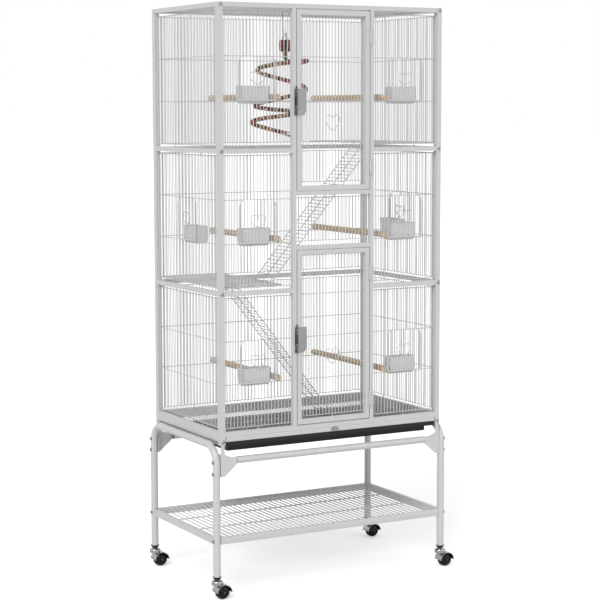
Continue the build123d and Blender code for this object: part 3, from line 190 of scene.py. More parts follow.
def dowel_wood():
    """Pale hardwood: long rings stretched along the dowel, with darker pores."""
    material = bpy.data.materials.new("dowel_wood")
    material.use_nodes = True
    nodes, link = material.node_tree.nodes, material.node_tree.links.new
    shader = nodes["Principled BSDF"]
    shader.inputs["Roughness"].default_value = 0.62
    place = nodes.new("ShaderNodeTexCoord")
    stretch = nodes.new("ShaderNodeMapping")
    stretch.inputs["Scale"].default_value = (90, 5, 90)
    link(place.outputs["Object"], stretch.inputs["Vector"])
    rings = nodes.new("ShaderNodeTexNoise")
    rings.inputs["Scale"].default_value = 2.2
    rings.inputs["Detail"].default_value = 7
    rings.inputs["Distortion"].default_value = 0.6
    link(stretch.outputs["Vector"], rings.inputs["Vector"])
    tones = nodes.new("ShaderNodeValToRGB")
    tones.color_ramp.elements[0].position = 0.3
    tones.color_ramp.elements[0].color = (0.42, 0.29, 0.18, 1)
    tones.color_ramp.elements[1].position = 0.72
    tones.color_ramp.elements[1].color = (0.74, 0.60, 0.44, 1)
    link(rings.outputs["Fac"], tones.inputs["Fac"])
    link(tones.outputs["Color"], shader.inputs["Base Color"])
    bump = nodes.new("ShaderNodeBump")
    bump.inputs["Strength"].default_value = 0.3
    bump.inputs["Distance"].default_value = 0.0005
    link(rings.outputs["Fac"], bump.inputs["Height"])
    link(bump.outputs["Normal"], shader.inputs["Normal"])
    return material


def rope_cotton(name, colours):
    """Dyed cotton: each strand changes colour in short lengths, with fine fibres across it."""
    material = bpy.data.materials.new(name)
    material.use_nodes = True
    nodes, link = material.node_tree.nodes, material.node_tree.links.new
    shader = nodes["Principled BSDF"]
    shader.inputs["Roughness"].default_value = 0.9
    shader.inputs["Sheen Weight"].default_value = 0.2
    strand = nodes.new("ShaderNodeUVMap")
    strand.uv_map = "strand"
    lengths = nodes.new("ShaderNodeVectorMath")
    lengths.operation = "FLOOR"
    link(strand.outputs["UV"], lengths.inputs[0])
    pick = nodes.new("ShaderNodeTexWhiteNoise")
    pick.noise_dimensions = "2D"
    link(lengths.outputs["Vector"], pick.inputs["Vector"])
    dyes = nodes.new("ShaderNodeValToRGB")
    dyes.color_ramp.interpolation = "CONSTANT"
    elements = dyes.color_ramp.elements
    elements.remove(elements[1])
    elements[0].color = (*colours[0][1], 1)
    for position, colour in colours[1:]:
        elements.new(position).color = (*colour, 1)
    link(pick.outputs["Value"], dyes.inputs["Fac"])
    link(dyes.outputs["Color"], shader.inputs["Base Color"])
    fibres = nodes.new("ShaderNodeTexWave")
    fibres.inputs["Scale"].default_value = 9
    fibres.inputs["Distortion"].default_value = 3
    link(strand.outputs["UV"], fibres.inputs["Vector"])
    bump = nodes.new("ShaderNodeBump")
    bump.inputs["Strength"].default_value = 0.5
    bump.inputs["Distance"].default_value = 0.0006
    link(fibres.outputs["Fac"], bump.inputs["Height"])
    link(bump.outputs["Normal"], shader.inputs["Normal"])
    return material


powder_coat = finish("powder_coat", (0.56, 0.56, 0.565), 0.42, tone=0.05, scale=1400, bump=0.12, coat=0.15)
cup_plastic = finish("cup_plastic", (0.68, 0.68, 0.68), 0.38, tone=0.04, scale=700, bump=0.08, coat=0.1)
bright_plate = finish("bright_plate", (0.36, 0.36, 0.37), 0.3, tone=0.3, scale=300, bump=0.05, metallic=1.0)
chrome_cover = finish("chrome_cover", (0.40, 0.40, 0.41), 0.14, tone=0.3, scale=200, bump=0.02, metallic=1.0)
dark_steel = finish("dark_steel", (0.07, 0.07, 0.075), 0.35, tone=0.3, scale=500, bump=0.1, metallic=0.9)
black_plastic = finish(
    "black_plastic", (0.012, 0.012, 0.013), 0.42, tone=0.25, scale=1100, bump=0.25, specular=0.3
)
wheel_plastic = finish(
    "wheel_plastic",
    (0.005, 0.005, 0.005),
    0.14,
    tone=0.2,
    scale=300,
    bump=0.02,
    rough_change=0.04,
    specular=0.22,
)
dowel = dowel_wood()
rope_dyes = rope_cotton(
    "rope_cotton",
    (
        (0.0, (0.24, 0.03, 0.022)),
        (0.3, (0.5, 0.33, 0.18)),
        (0.5, (0.035, 0.03, 0.03)),
        (0.66, (0.58, 0.46, 0.31)),
        (0.76, (0.34, 0.07, 0.035)),
        (0.87, (0.42, 0.29, 0.05)),
        (0.95, (0.06, 0.17, 0.08)),
    ),
)
bundle_dyes = rope_cotton(
    "bundle_cotton",
    ((0.0, (0.02, 0.016, 0.018)), (0.45, (0.2, 0.02, 0.025)), (0.9, (0.5, 0.3, 0.2))),
)
materials = {
    "powder_coat": powder_coat,
    "cup_plastic": cup_plastic,
    "bright_plate": bright_plate,
    "chrome_cover": chrome_cover,
    "dark_steel": dark_steel,
    "black_plastic": black_plastic,
    "wheel_plastic": wheel_plastic,
    "dowel": dowel,
    "rope": rope_dyes,
}

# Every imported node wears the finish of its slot
for entry in frame["record"]["subparts"]:
    node = frame["nodes"][entry["node"]]
    for place in node.material_slots:
        place.material = materials[entry["material_slot"]]


# Surfaces
def unit(vectors):
    return vectors / np.linalg.norm(vectors, axis=-1, keepdims=True)


def rods(starts, ends, radius=wire_radius, sides=8):
    """Straight round wires: start or end + radius * (cos a * u + sin a * v), closed with flat ends."""
    starts = np.asarray(starts, float).reshape(-1, 3)
    ends = np.asarray(ends, float).reshape(-1, 3)
    heading = unit(ends - starts)
    upright = np.abs(heading[:, 2:3]) > 0.9
    across = unit(np.cross(heading, np.where(upright, (1.0, 0, 0), (0, 0, 1.0))))
    other = np.cross(heading, across)
    angle = np.arange(sides) * 2 * np.pi / sides
    cosine, sine = np.cos(angle)[None, :, None], np.sin(angle)[None, :, None]
    ring = radius * (cosine * across[:, None] + sine * other[:, None])
    points = np.concatenate((starts[:, None] + ring, ends[:, None] + ring), axis=1)
    base = np.arange(len(starts))[:, None] * 2 * sides
    near = np.arange(sides)
    beside = (near + 1) % sides
    walls = np.stack((near, beside, beside + sides, near + sides), axis=-1)
    faces = (base[:, :, None] + walls[None]).reshape(-1, 4).tolist()
    faces += (base + near[::-1]).tolist() + (base + near + sides).tolist()
    return points.reshape(-1, 3), faces


def tube_along(path, reference, radius=wire_radius, sides=8, closed=False):
    """A round wire along a path: path + radius * (cos a * u + sin a * v), u leaning to the reference."""
    path = np.asarray(path, float)
    if closed:
        heading = unit(np.roll(path, -1, axis=0) - np.roll(path, 1, axis=0))
    else:
        heading = unit(np.gradient(path, axis=0))
    reference = np.broadcast_to(np.asarray(reference, float), path.shape)
    across = unit(reference - (reference * heading).sum(-1, keepdims=True) * heading)
    other = np.cross(heading, across)
    angle = np.arange(sides) * 2 * np.pi / sides
    cosine, sine = np.cos(angle)[None, :, None], np.sin(angle)[None, :, None]
    points = path[:, None] + radius * (cosine * across[:, None] + sine * other[:, None])
    count = len(path)
    rings = np.arange(count if closed else count - 1)[:, None] * sides
    after = (rings + sides) % (count * sides)
    near = np.arange(sides)[None]
    beside = (near + 1) % sides
    faces = np.stack((rings + near, rings + beside, after + beside, after + near), axis=-1)
    faces = faces.reshape(-1, 4).tolist()
    if not closed:
        faces += [near[0][::-1].tolist(), (near[0] + (count - 1) * sides).tolist()]
    return points.reshape(-1, 3), faces


def turned(origin, axis, heights, widths, sides=20):
    """A turned shape about an axis: a radius given at each height, closed at both ends."""
    axis = np.asarray(axis, float)
    across = unit(np.cross(axis, (0.0, 0, 1.0) if abs(axis[2]) < 0.9 else (0.0, 1.0, 0)))
    other = np.cross(axis, across)
    angle = np.arange(sides) * 2 * np.pi / sides
    ring = np.cos(angle)[:, None] * across + np.sin(angle)[:, None] * other
    heights = np.asarray(heights, float)[:, None, None]
    widths = np.asarray(widths, float)[:, None, None]
    points = np.asarray(origin, float) + heights * axis + widths * ring[None]
    rings = np.arange(len(heights) - 1)[:, None] * sides
    near = np.arange(sides)[None]
    beside = (near + 1) % sides
    faces = np.stack((rings + near, rings + beside, rings + sides + beside, rings + sides + near), axis=-1)
    faces = faces.reshape(-1, 4).tolist()
    faces += [near[0][::-1].tolist(), (near[0] + (len(heights) - 1) * sides).tolist()]
    return points.reshape(-1, 3), faces


def joined(*surfaces):
    """Several surfaces as one list of points and faces."""
    points, faces, base = [], [], 0
    for some_points, some_faces in surfaces:
        points.append(some_points)
        faces += [[corner + base for corner in face] for face in some_faces]
        base += len(some_points)
    return np.concatenate(points), faces


def piece(name, surface, body, slot, nodes=(), at_middle=True):
    """A finished mesh that rides on a body, wears its slot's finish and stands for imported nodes."""
    points, faces = surface
    if at_middle:
        points = points + (middle_x, 0, 0)
    mesh = bpy.data.meshes.new(name)
    mesh.from_pydata(points.tolist(), [], faces)
    mesh.shade_smooth()
    mesh.set_sharp_from_angle(angle=radians(50))
    mesh.materials.append(materials[slot])
    thing = bpy.data.objects.new(name, mesh)
    bpy.context.scene.collection.objects.link(thing)
    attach(thing, body)
    if nodes:
        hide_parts(*nodes)
    return thing


# Wire panels
walls = {
    "front": (np.array((1.0, 0, 0)), np.array((0, -1.0, 0))),
    "back": (np.array((-1.0, 0, 0)), np.array((0, 1.0, 0))),
    "left": (np.array((0, -1.0, 0)), np.array((-1.0, 0, 0))),
    "right": (np.array((0, 1.0, 0)), np.array((1.0, 0, 0))),
}


def on_wall(wall, distance, along, level):
    """Points on a wall from their places along it and their heights."""
    run, out = walls[wall]
    along, level = np.broadcast_arrays(np.asarray(along, float), np.asarray(level, float))
    return along[..., None] * run + distance * out + level[..., None] * np.array((0, 0, 1.0))


def panel(wall, distance, places, levels, gap=None, stubs=(), stub_span=None):
    """Upright round wires at the given places over level ones set behind them.

    gap is the start and end of a feeder opening between the second and third level wires.
    """
    places = np.asarray(places, float)
    inside = np.zeros(len(places), bool)
    if gap:
        inside = (places > gap[0] + wire) & (places < gap[1] - wire)
    whole, cut = places[~inside], places[inside]
    spans = [(whole, levels[0] - wire_radius, levels[-1] + wire_radius)]
    if gap:
        spans.append((cut, levels[0] - wire_radius, levels[1] + wire_radius))
        spans.append((cut, levels[2] - wire_radius, levels[-1] + wire_radius))
    if stubs:
        spans.append((np.asarray(stubs), stub_span[0], levels[0]))
        spans.append((np.asarray(stubs), levels[-1], stub_span[1]))
    uprights = [
        rods(on_wall(wall, distance, along, low), on_wall(wall, distance, along, high))
        for along, low, high in spans
    ]
    behind = distance - cross_set_back
    first, last = np.full(len(levels), places.min()), np.full(len(levels), places.max())
    crossing = rods(on_wall(wall, behind, first, levels), on_wall(wall, behind, last, levels))
    return joined(*uprights, crossing)


def build_walls():
    """The fixed wire panels of all four walls, with a gap behind each feeder door."""
    front, back = [], []
    half_gap = feeder_gaps * bay_pitch / 2
    bay_middle = (door_post_outer + post_inner_x) / 2
    bay = np.linspace(door_post_outer, post_inner_x, bay_gaps + 1)
    back_middle = np.linspace(-door_post_outer, door_post_outer, back_middle_gaps + 1)[1:-1]
    for levels, rails in zip(tier_levels, tier_rails):
        for side in (-1, 1):
            gap = (side * feeder_x - half_gap, side * feeder_x + half_gap)
            front.append(panel("front", panel_y, side * bay, levels, gap, [side * bay_middle], rails))
        across = np.concatenate((-bay, back_middle, bay))
        back.append(panel("back", panel_y, across, levels, None, [-bay_middle, bay_middle], rails))
    middle_levels = (1.0530, 1.1820)
    middle_rails = (1.0400, 1.1890)
    middle_wires = 23
    middle_places = np.linspace(-door_opening, door_opening, middle_wires)
    front.append(panel("front", panel_y, middle_places, middle_levels, None, [0.0], middle_rails))
    piece("front_wire_panels", joined(*front), "cage", "powder_coat", ["front_wires"])
    piece("back_wire_panels", joined(*back), "cage", "powder_coat", ["back_wires"])
    places = np.linspace(-post_inner_y, post_inner_y, side_gaps + 1)
    half_gap = feeder_gaps * side_pitch / 2
    for wall in ("left", "right"):
        sheets = []
        for tier, (levels, rails) in enumerate(zip(tier_levels, tier_rails)):
            gap = (-half_gap, half_gap) if tier_names[tier] == "middle" else None
            sheets.append(panel(wall, side_panel_x, places, levels, gap, [-stub_y, stub_y], rails))
        piece(f"{wall}_wire_panels", joined(*sheets), "cage", "powder_coat", [f"{wall}_wires"])


def flat_net(x_places, y_places, level, radius=wire_radius, drop=None, past=0.0):
    """A level net: wires from front to back over wires from side to side.

    The lower wires run past the outermost upper ones by the length given as past.
    """
    drop = 1.5 * radius if drop is None else drop
    x_places, y_places = np.asarray(x_places, float), np.asarray(y_places, float)
    low_y, high_y = y_places.min() - radius, y_places.max() + radius

    def at(x, y, z):
        x, y = np.broadcast_arrays(np.asarray(x, float), np.asarray(y, float))
        return np.stack((x, y, np.full(x.shape, z)), axis=-1)

    over = rods(at(x_places, low_y, level), at(x_places, high_y, level), radius)
    start, end = x_places.min() - past, x_places.max() + past
    under = rods(at(start, y_places, level - drop), at(end, y_places, level - drop), radius)
    return joined(over, under)


def bar(low, high, run, corner=0.0018, steps=4):
    """A bar between two corners: a rectangle with quarter circles at its corners, carried along one axis."""
    low, high = np.minimum(low, high), np.maximum(low, high)
    along = "XYZ".index(run)
    u, v = (along + 1) % 3, (along + 2) % 3
    turn = np.linspace(0, np.pi / 2, steps)
    quarter = np.stack((np.cos(turn), np.sin(turn)), axis=-1) * corner
    inner_low, inner_high = low[[u, v]] + corner, high[[u, v]] - corner
    profile = np.concatenate(
        (
            quarter + inner_high,
            quarter[:, ::-1] * (-1, 1) + (inner_low[0], inner_high[1]),
            -quarter + inner_low,
            quarter[:, ::-1] * (1, -1) + (inner_high[0], inner_low[1]),
        )
    )
    count = len(profile)
    points = np.empty((2, count, 3))
    points[:, :, u], points[:, :, v] = profile[:, 0], profile[:, 1]
    points[0, :, along], points[1, :, along] = low[along], high[along]
    near = np.arange(count)
    beside = (near + 1) % count
    faces = np.stack((near, beside, beside + count, near + count), axis=-1).tolist()
    faces += [near[::-1].tolist(), (near + count).tolist()]
    return points.reshape(-1, 3), faces


def build_flat_nets():
    """The roof, the shelf's deck between its bars, and the floor grate with its front strip and rivet."""
    roof_rows = np.linspace(-roof_half_depth, roof_half_depth, 4)
    roof = flat_net(np.linspace(-post_inner_x, post_inner_x, roof_gaps + 1), roof_rows, roof_level)
    piece("roof_wire_panel", roof, "cage", "powder_coat", ["roof_wires"])

    shelf_low, shelf_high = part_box("shelf")
    deck_half_x = (shelf_high.x - shelf_low.x) / 2
    bar_depth = 0.012
    inner_y = shelf_high.y - bar_depth
    deck_set_down = 0.0045
    deck_weld = 0.001
    deck_radius = 0.0017
    deck_gaps = 42
    deck_pitch = 2 * deck_half_x / deck_gaps
    bar_gap = 0.0054
    shelf = flat_net(
        np.linspace(-deck_half_x, deck_half_x, deck_gaps + 1)[1:-1],
        np.linspace(-inner_y - deck_weld, inner_y + deck_weld, 4),
        shelf_high.z - deck_set_down,
        deck_radius,
        past=deck_pitch + bar_gap,
    )
    ends = [
        bar((-deck_half_x, side * inner_y, shelf_low.z), (deck_half_x, side * shelf_high.y, shelf_high.z), "X")
        for side in (-1, 1)
    ]
    piece("shelf_deck", joined(shelf, *ends), "cage", "powder_coat", ["shelf"])

    grate_half_x = 0.364
    grate_front, grate_back = -0.230, 0.2058
    grate_level, cross_drop = 0.4750, 0.0016
    strip_thickness, strip_corner = 0.002, 0.0008
    strip_low, strip_high = 0.4712, 0.4842
    rivet_x, rivet_level = 0.002, 0.480
    rivet_heights = (0, 0.0019, 0.0019, 0.0024, 0.0029)
    rivet_widths = (0.0015, 0.0015, 0.0024, 0.0023, 0.0012)
    net = flat_net(
        np.linspace(-grate_half_x, grate_half_x, 65),
        np.linspace(grate_front + strip_thickness + wire_radius, grate_back, 6),
        grate_level,
        wire_radius,
        cross_drop,
    )
    strip_back = grate_front + strip_thickness
    strip = bar(
        (-grate_half_x, grate_front, strip_low), (grate_half_x, strip_back, strip_high), "X", strip_corner
    )
    rivet = turned((rivet_x, grate_front, rivet_level), (0, -1.0, 0), rivet_heights, rivet_widths)
    piece("grate_and_strip", joined(net, strip, rivet), "grate", "powder_coat", ["floor_grate"])


def edge_hook(start, out, reach, fall):
    """A hook from a deck's rim: out over a wall's level wire, then down behind it."""
    run = np.array(((0, 0), (reach - hook_bend, 0), (reach, -hook_bend), (reach, -fall)))
    path = np.asarray(start, float) + run[:, :1] * out + run[:, 1:] * (0, 0, 1.0)
    return tube_along(path, np.abs(np.cross(out, (0, 0, 1.0))), hook_radius)


def build_platforms():
    """Decks of round wires in a rim, hooked over the level wires of three walls."""
    near_x, far_x, half_y = 0.165, 0.366, 0.207
    rim_radius = 0.0015
    rim_to_net = 0.0004
    deck_columns, deck_rows = 17, 5
    front_hook_start, front_hook_y = 0.204, 0.2228
    side_hook_start, side_hook_x = 0.364, 0.3756
    front_hook_gaps, side_hook_gaps = (5, 15), 10
    hook_tip = 0.005
    for name, side, deck_low in (("upper", 1, 1.3395), ("lower", -1, 0.9235)):
        level = deck_low + rim_radius
        row_end = half_y - wire_radius
        net = flat_net(
            side * np.linspace(near_x, far_x, deck_columns),
            np.linspace(-row_end, row_end, deck_rows),
            level + rim_to_net,
        )
        near, far = side * near_x, side * far_x
        corners = ((near, -half_y), (far, -half_y), (far, half_y), (near, half_y))
        rim = [
            rods((*one, level), (*two, level), rim_radius)
            for one, two in zip(corners, corners[1:] + corners[:1])
        ]
        fall = rim_radius + hook_tip
        hooks = []
        for face in (-1, 1):
            for number in front_hook_gaps:
                x = side * (door_post_outer + number * bay_pitch + bay_pitch / 2)
                start = (x, face * front_hook_start, level)
                hooks.append(edge_hook(start, np.array((0, face, 0)), front_hook_y - front_hook_start, fall))
            start = (side * side_hook_start, face * side_pitch * side_hook_gaps, level)
            hooks.append(edge_hook(start, np.array((side, 0, 0)), side_hook_x - side_hook_start, fall))
        piece(f"{name}_platform_deck", joined(net, *rim, *hooks), "cage", "powder_coat", [f"{name}_platform"])


def build_ramps():
    """Ladders of round rungs on three rails, with two hooks over a platform's wire."""
    half_width = 0.0575
    rail_radius = 0.0014
    rail_drop, foot_rise = 0.0008, 0.0014
    rung_pitch, first_rung, last_rung = 0.013, 0.004, 0.002
    hook_y = 0.0515
    hook_root, hook_tip = 0.002, 0.004
    deck_rise = 0.0070
    over_deck = 0.0004
    for name, toward, top_x, top_z, foot_x, foot_z, middle_y, far_x in (
        ("upper", -1, 0.1618, 1.3355, -0.186, 0.9268, -0.1225, 0.1688),
        ("lower", 1, -0.2352, 0.9195, 0.115, 0.4760, 0.0225, -0.2448),
    ):
        top = np.array((top_x, middle_y, top_z - rail_drop))
        foot = np.array((foot_x, middle_y, foot_z + foot_rise))
        aside = np.array((0, half_width - wire_radius, 0))
        across = np.array((0, 1.0, 0))
        slope = unit(foot - top)
        normal = np.cross(slope, across)
        normal *= np.sign(normal[2])
        length = np.linalg.norm(foot - top)
        rungs = np.linspace(first_rung, length - last_rung, int(length / rung_pitch) + 1)[:, None]
        lift = normal * wire_radius
        steps = rods(top + slope * rungs - aside + lift, top + slope * rungs + aside + lift)
        rails = [rods(top + aside * hand, foot + aside * hand, rail_radius) for hand in (-1, 0, 1)]
        hooks = []
        turn_low = top_z + deck_rise + over_deck
        turn_high = turn_low + hook_bend
        tip = top_z + deck_rise - hook_tip
        for hand in (-1, 1):
            y = middle_y + hand * hook_y
            path = (
                (top_x, y, top_z - hook_root),
                (top_x, y, turn_low),
                (top_x - toward * hook_bend, y, turn_high),
                (far_x + toward * hook_bend, y, turn_high),
                (far_x, y, turn_low),
                (far_x, y, tip),
            )
            hooks.append(tube_along(path, (0, 1.0, 0), hook_radius))
        piece(f"{name}_ramp_ladder", joined(steps, *rails, *hooks), "cage", "powder_coat", [f"{name}_ramp"])


# Feeder doors, hearts and loops
def curve_weights(s):
    """The weights of a cubic curve's four points at each place s."""
    return np.concatenate(((1 - s) ** 3, 3 * s * (1 - s) ** 2, 3 * s * s * (1 - s), s**3), axis=1)


def heart_path(width, height, steps=14):
    """A heart's outline: a half circle over each lobe and a cubic curve from each lobe to the point."""
    lobe = width / 4
    shoulder = height - lobe
    cheek = (0.22 * width, 0.2 * shoulder)
    turn = np.linspace(np.pi, 0, steps)
    left = np.stack((-lobe + lobe * np.cos(turn), shoulder + lobe * np.sin(turn)), axis=-1)
    right = left + (2 * lobe, 0)
    s = np.linspace(0, 1, steps)[1:, None]
    corners = np.array(((2 * lobe, shoulder), (2 * lobe, 0.5 * shoulder), cheek, (0, 0)))
    fall = curve_weights(s) @ corners
    rise = fall[::-1][1:-1] * (-1, 1)
    return np.concatenate((left, right[1:], fall, rise))


def wire_heart(wall, distance, place, low, width, height):
    """A heart of round wire on a wall, with its point at the height given as low."""
    path = heart_path(width, height)
    points = on_wall(wall, distance, path[:, 0] + place, path[:, 1] + low)
    return tube_along(points, walls[wall][1], closed=True)


def arched_path(half, low, high, corner, steps=9):
    """A door's rim: upright sides, a rounded corner each side of a level top, and a square foot."""
    turn = np.linspace(0, np.pi / 2, steps)
    along, up = corner * np.cos(turn), corner * np.sin(turn)
    right = np.stack((half - corner + along, high - corner + up), axis=-1)
    left = right[::-1] * (-1, 1)
    return np.concatenate((((half, low),), right, left, ((-half, low),)))


def feeder_wires(wall, distance, place, tier, pitch):
    """A sliding feeder door: arched rim, upright wires, a thick foot, a heart and loops round two wires."""
    foot_radius = 0.0019
    top_overlap = 0.0003
    side_overlap = 0.00525
    corner = 0.021
    heart_rise, heart_width, heart_height = 0.047, 0.0496, 0.0375
    loop_rises = (0.0235, 0.0305)
    loop_half_width, loop_back, loop_depth, loop_radius = 0.00255, 0.0035, 0.0021, 0.00075
    levels = tier_levels[tier]
    low, high = levels[1] + foot_radius, levels[2] + top_overlap
    half = feeder_gaps * pitch / 2 + side_overlap - wire_radius
    rim = arched_path(half, low, high, corner)
    out = walls[wall][1]
    surfaces = [tube_along(on_wall(wall, distance, rim[:, 0] + place, rim[:, 1]), out)]
    bars = np.arange(-feeder_gaps // 2, feeder_gaps // 2 + 1) * pitch
    over = np.clip(np.abs(bars) - (half - corner), 0, corner)
    tops = high - corner + np.sqrt(corner**2 - over**2)
    for starts, ends, radius in (
        ((bars, low), (bars, tops), wire_radius),
        ((-half, low), (half, low), foot_radius),
    ):
        surfaces.append(
            rods(
                on_wall(wall, distance, place + starts[0], starts[1]),
                on_wall(wall, distance, place + ends[0], ends[1]),
                radius,
            )
        )
    heart_low = levels[1] + heart_rise
    surfaces.append(wire_heart(wall, distance + wire_radius, place, heart_low, heart_width, heart_height))
    turn = np.linspace(0, np.pi, 13)
    depth = distance - loop_back - loop_depth * np.sin(turn)
    depth[0] = depth[-1] = distance
    for side in (-1, 1):
        along = place + side * feeder_gaps * pitch / 2 + loop_half_width * np.cos(turn)
        for rise in loop_rises:
            loop = on_wall(wall, 0, along, levels[1] + rise) + depth[:, None] * out
            surfaces.append(tube_along(loop, (0, 0, 1.0), loop_radius, 6))
    return joined(*surfaces)


def build_feeder_doors():
    in_front = wire_radius + feeder_clearance + wire_radius
    for tier, tier_name in enumerate(tier_names):
        for side, side_name in ((-1, "left"), (1, "right")):
            name = f"{tier_name}_{side_name}"
            door = feeder_wires("front", panel_y + in_front, side * feeder_x, tier, bay_pitch)
            piece(f"{name}_feeder_wires", door, f"{name}_door", "powder_coat", [f"{name}_feeder_door"])
    for wall in ("left", "right"):
        name = f"{wall}_side"
        door = feeder_wires(wall, side_panel_x + in_front, 0.0, tier_names.index("middle"), side_pitch)
        piece(f"{name}_feeder_wires", door, f"{name}_door", "powder_coat", [f"{name}_feeder_door"])


def build_swinging_doors():
    """A wire net with a heart in each swinging door's frame, with level wires in line with the panels'."""
    door_wires = 21
    heart_width, heart_height, heart_middle_rise = 0.0476, 0.0460, 0.0235
    for name, tier, end_levels, rails, heart in (
        ("upper", 2, (1.2285, 1.7150), (1.2175, 1.7195), 1.404),
        ("lower", 0, (0.5244, 1.0100), (0.5159, 1.0115), 0.701),
    ):
        lowest, highest = end_levels
        shared = [level for level in tier_levels[tier] if lowest + bay_pitch < level < highest - bay_pitch]
        places = np.linspace(-door_stile, door_stile, door_wires)
        levels = np.array((lowest, *shared, highest))
        net = panel("front", panel_y, places, levels, None, [0.0], rails)
        heart_low = heart - heart_middle_rise
        heart_wire = wire_heart("front", panel_y + wire, 0.0, heart_low, heart_width, heart_height)
        node = f"{name}_door_wires"
        piece(f"{name}_door_wire_panel", joined(net, heart_wire), f"{name}_door", "powder_coat", [node])


# Rope: three strands laid round a stiff core, wound in a loose spiral
rope_radius = 0.007
rope_hang_x = -0.040
rope_hang_low = 1.618
colour_length = 0.0095
spiral_half_turns = (0.3, 5.8)
spiral_radius = 0.076
spiral_x, spiral_drift = -0.044, 0.005
spiral_top, spiral_fall, spiral_sway = 1.595, 0.040, 0.015
spiral_middle_x = -0.062


def rope_line():
    """The middle line: straight down from the whipping, a smooth lead out, then the drifting spiral.

    The spiral turns with the angle pi * t: x and y go round spiral_radius while x drifts and z falls with t.
    """
    straight_steps = (0.007, 0.014)
    reach = 0.034
    turns = np.linspace(*spiral_half_turns, 260)
    x = spiral_x - spiral_drift * turns + spiral_radius * np.cos(np.pi * turns)
    y = -spiral_radius * np.sin(np.pi * turns)
    z = spiral_top - spiral_fall * turns + spiral_sway * np.sin(np.pi * turns / 2)
    coil = np.stack((x, y, z), axis=-1)
    start = np.array((rope_hang_x, 0, rope_hang_low))
    bend = start - (0, 0, straight_steps[1])
    s = np.linspace(0, 1, 26)[:-1, None]
    heading = unit(coil[1] - coil[0])
    corners = np.stack((bend, bend - (0, 0, reach), coil[0] - heading * reach, coil[0]))
    lead = curve_weights(s) @ corners
    return np.concatenate((start[None], start[None] - (0, 0, straight_steps[0]), lead, coil))


def build_rope():
    """Three strands, each a tube on a helix round the rope's middle line, one turn in each length of lay."""
    strands = 3
    strand_radius = rope_radius * 0.5
    lay = 0.030
    rough = rope_line()
    run = np.concatenate(((0,), np.cumsum(np.linalg.norm(np.diff(rough, axis=0), axis=1))))
    even = np.linspace(0, run[-1], 1000)
    line = np.stack([np.interp(even, run, rough[:, axis]) for axis in range(3)], axis=-1)
    heading = unit(np.gradient(line, axis=0))
    outward = line - (spiral_middle_x, 0, 0)
    outward[:, 2] = 0
    across = unit(outward - (outward * heading).sum(-1, keepdims=True) * heading)
    other = np.cross(heading, across)
    for strand in range(strands):
        turn = 2 * np.pi * (even / lay + strand / strands)
        reach = rope_radius - strand_radius
        path = line + reach * (np.cos(turn)[:, None] * across + np.sin(turn)[:, None] * other)
        surface = tube_along(path, across, strand_radius, 10)
        thing = piece(f"rope_strand_{strand + 1}", surface, "cage", "rope", ["spiral_rope"])
        strand_map(thing, even / colour_length, np.full(len(even), strand + 0.5), 10)


def strand_map(thing, lengthwise, number, sides):
    """Writes the strand map: the place along a strand and the strand's number, for each ring of points."""
    layer = thing.data.uv_layers.new(name="strand")
    corners = np.empty(len(thing.data.loops), np.int32)
    thing.data.loops.foreach_get("vertex_index", corners)
    ring = corners // sides
    layer.data.foreach_set("uv", np.stack((lengthwise[ring], number[ring]), axis=-1).astype(np.float32).ravel())


def build_bundle():
    """The bound bundle of strands at the rope's top: a ring of tubes that bulge and twist a little."""
    count, rings, sides = 15, 12, 8
    waist, bulge, twist = 0.0128, 0.0026, 0.25
    low, height, radius = rope_hang_low + 0.002, 0.034, 0.0031
    first_number = 20.5
    s = np.linspace(0, 1, rings)
    reach = waist + bulge * np.sin(np.pi * s)
    surfaces = []
    for angle in np.arange(count) * 2 * np.pi / count:
        turn = angle + twist * s
        path = np.stack((rope_hang_x + reach * np.cos(turn), reach * np.sin(turn), low + height * s), axis=-1)
        surfaces.append(tube_along(path, (np.cos(angle), np.sin(angle), 0), radius, sides))
    bundle = piece("rope_bundle", joined(*surfaces), "cage", "rope", ["spiral_fittings"])
    bundle.data.materials[0] = bundle_dyes
    numbers = np.repeat(np.arange(count) + first_number, rings)
    strand_map(bundle, np.full(count * rings, 0.5), numbers, sides)


def build_rope_fittings():
    """The cap and core of the bundle, the link over two roof wires and the rope's end ferrule."""
    cap_level, core_level = 1.6480, 1.617
    cap_heights = (0, 0.0020, 0.0080, 0.0200, 0.0245, 0.0262)
    cap_widths = (0.0120, 0.0128, 0.0100, 0.0080, 0.0066, 0.0020)
    ferrule_heights = (0, 0.001, 0.017, 0.0195, 0.0205)
    ferrule_widths = (0.0078, 0.0082, 0.0082, 0.0066, 0.0030)
    ferrule_overlap = 0.001
    half_width, half_height, link_top, link_radius = 0.0086, 0.0375, 1.7482, 0.0014
    link_steps, side_stretch = 40, 1.35
    upward = (0, 0, 1.0)
    cap = turned((rope_hang_x, 0, cap_level), upward, cap_heights, cap_widths, 24)
    core = turned((rope_hang_x, 0, core_level), upward, (0, 0.032), (0.0105, 0.0115), 20)
    turn = np.linspace(0, 2 * np.pi, link_steps + 1)[:-1]
    straight = half_height - half_width
    upright = np.clip(half_height * side_stretch * np.sin(turn), -straight, straight)
    rise = link_top - half_height + upright + half_width * np.sin(turn)
    link = np.stack((rope_hang_x + half_width * np.cos(turn), np.zeros(link_steps), rise), axis=-1)
    link_wire = tube_along(link, (0, 1.0, 0), link_radius, 8, closed=True)
    line = rope_line()
    heading = unit(line[-1] - line[-2])
    ferrule = turned(line[-1] - heading * ferrule_overlap, heading, ferrule_heights, ferrule_widths, 20)
    fittings = joined(cap, core, link_wire, ferrule)
    piece("rope_fittings", fittings, "cage", "bright_plate", ["spiral_fittings"])


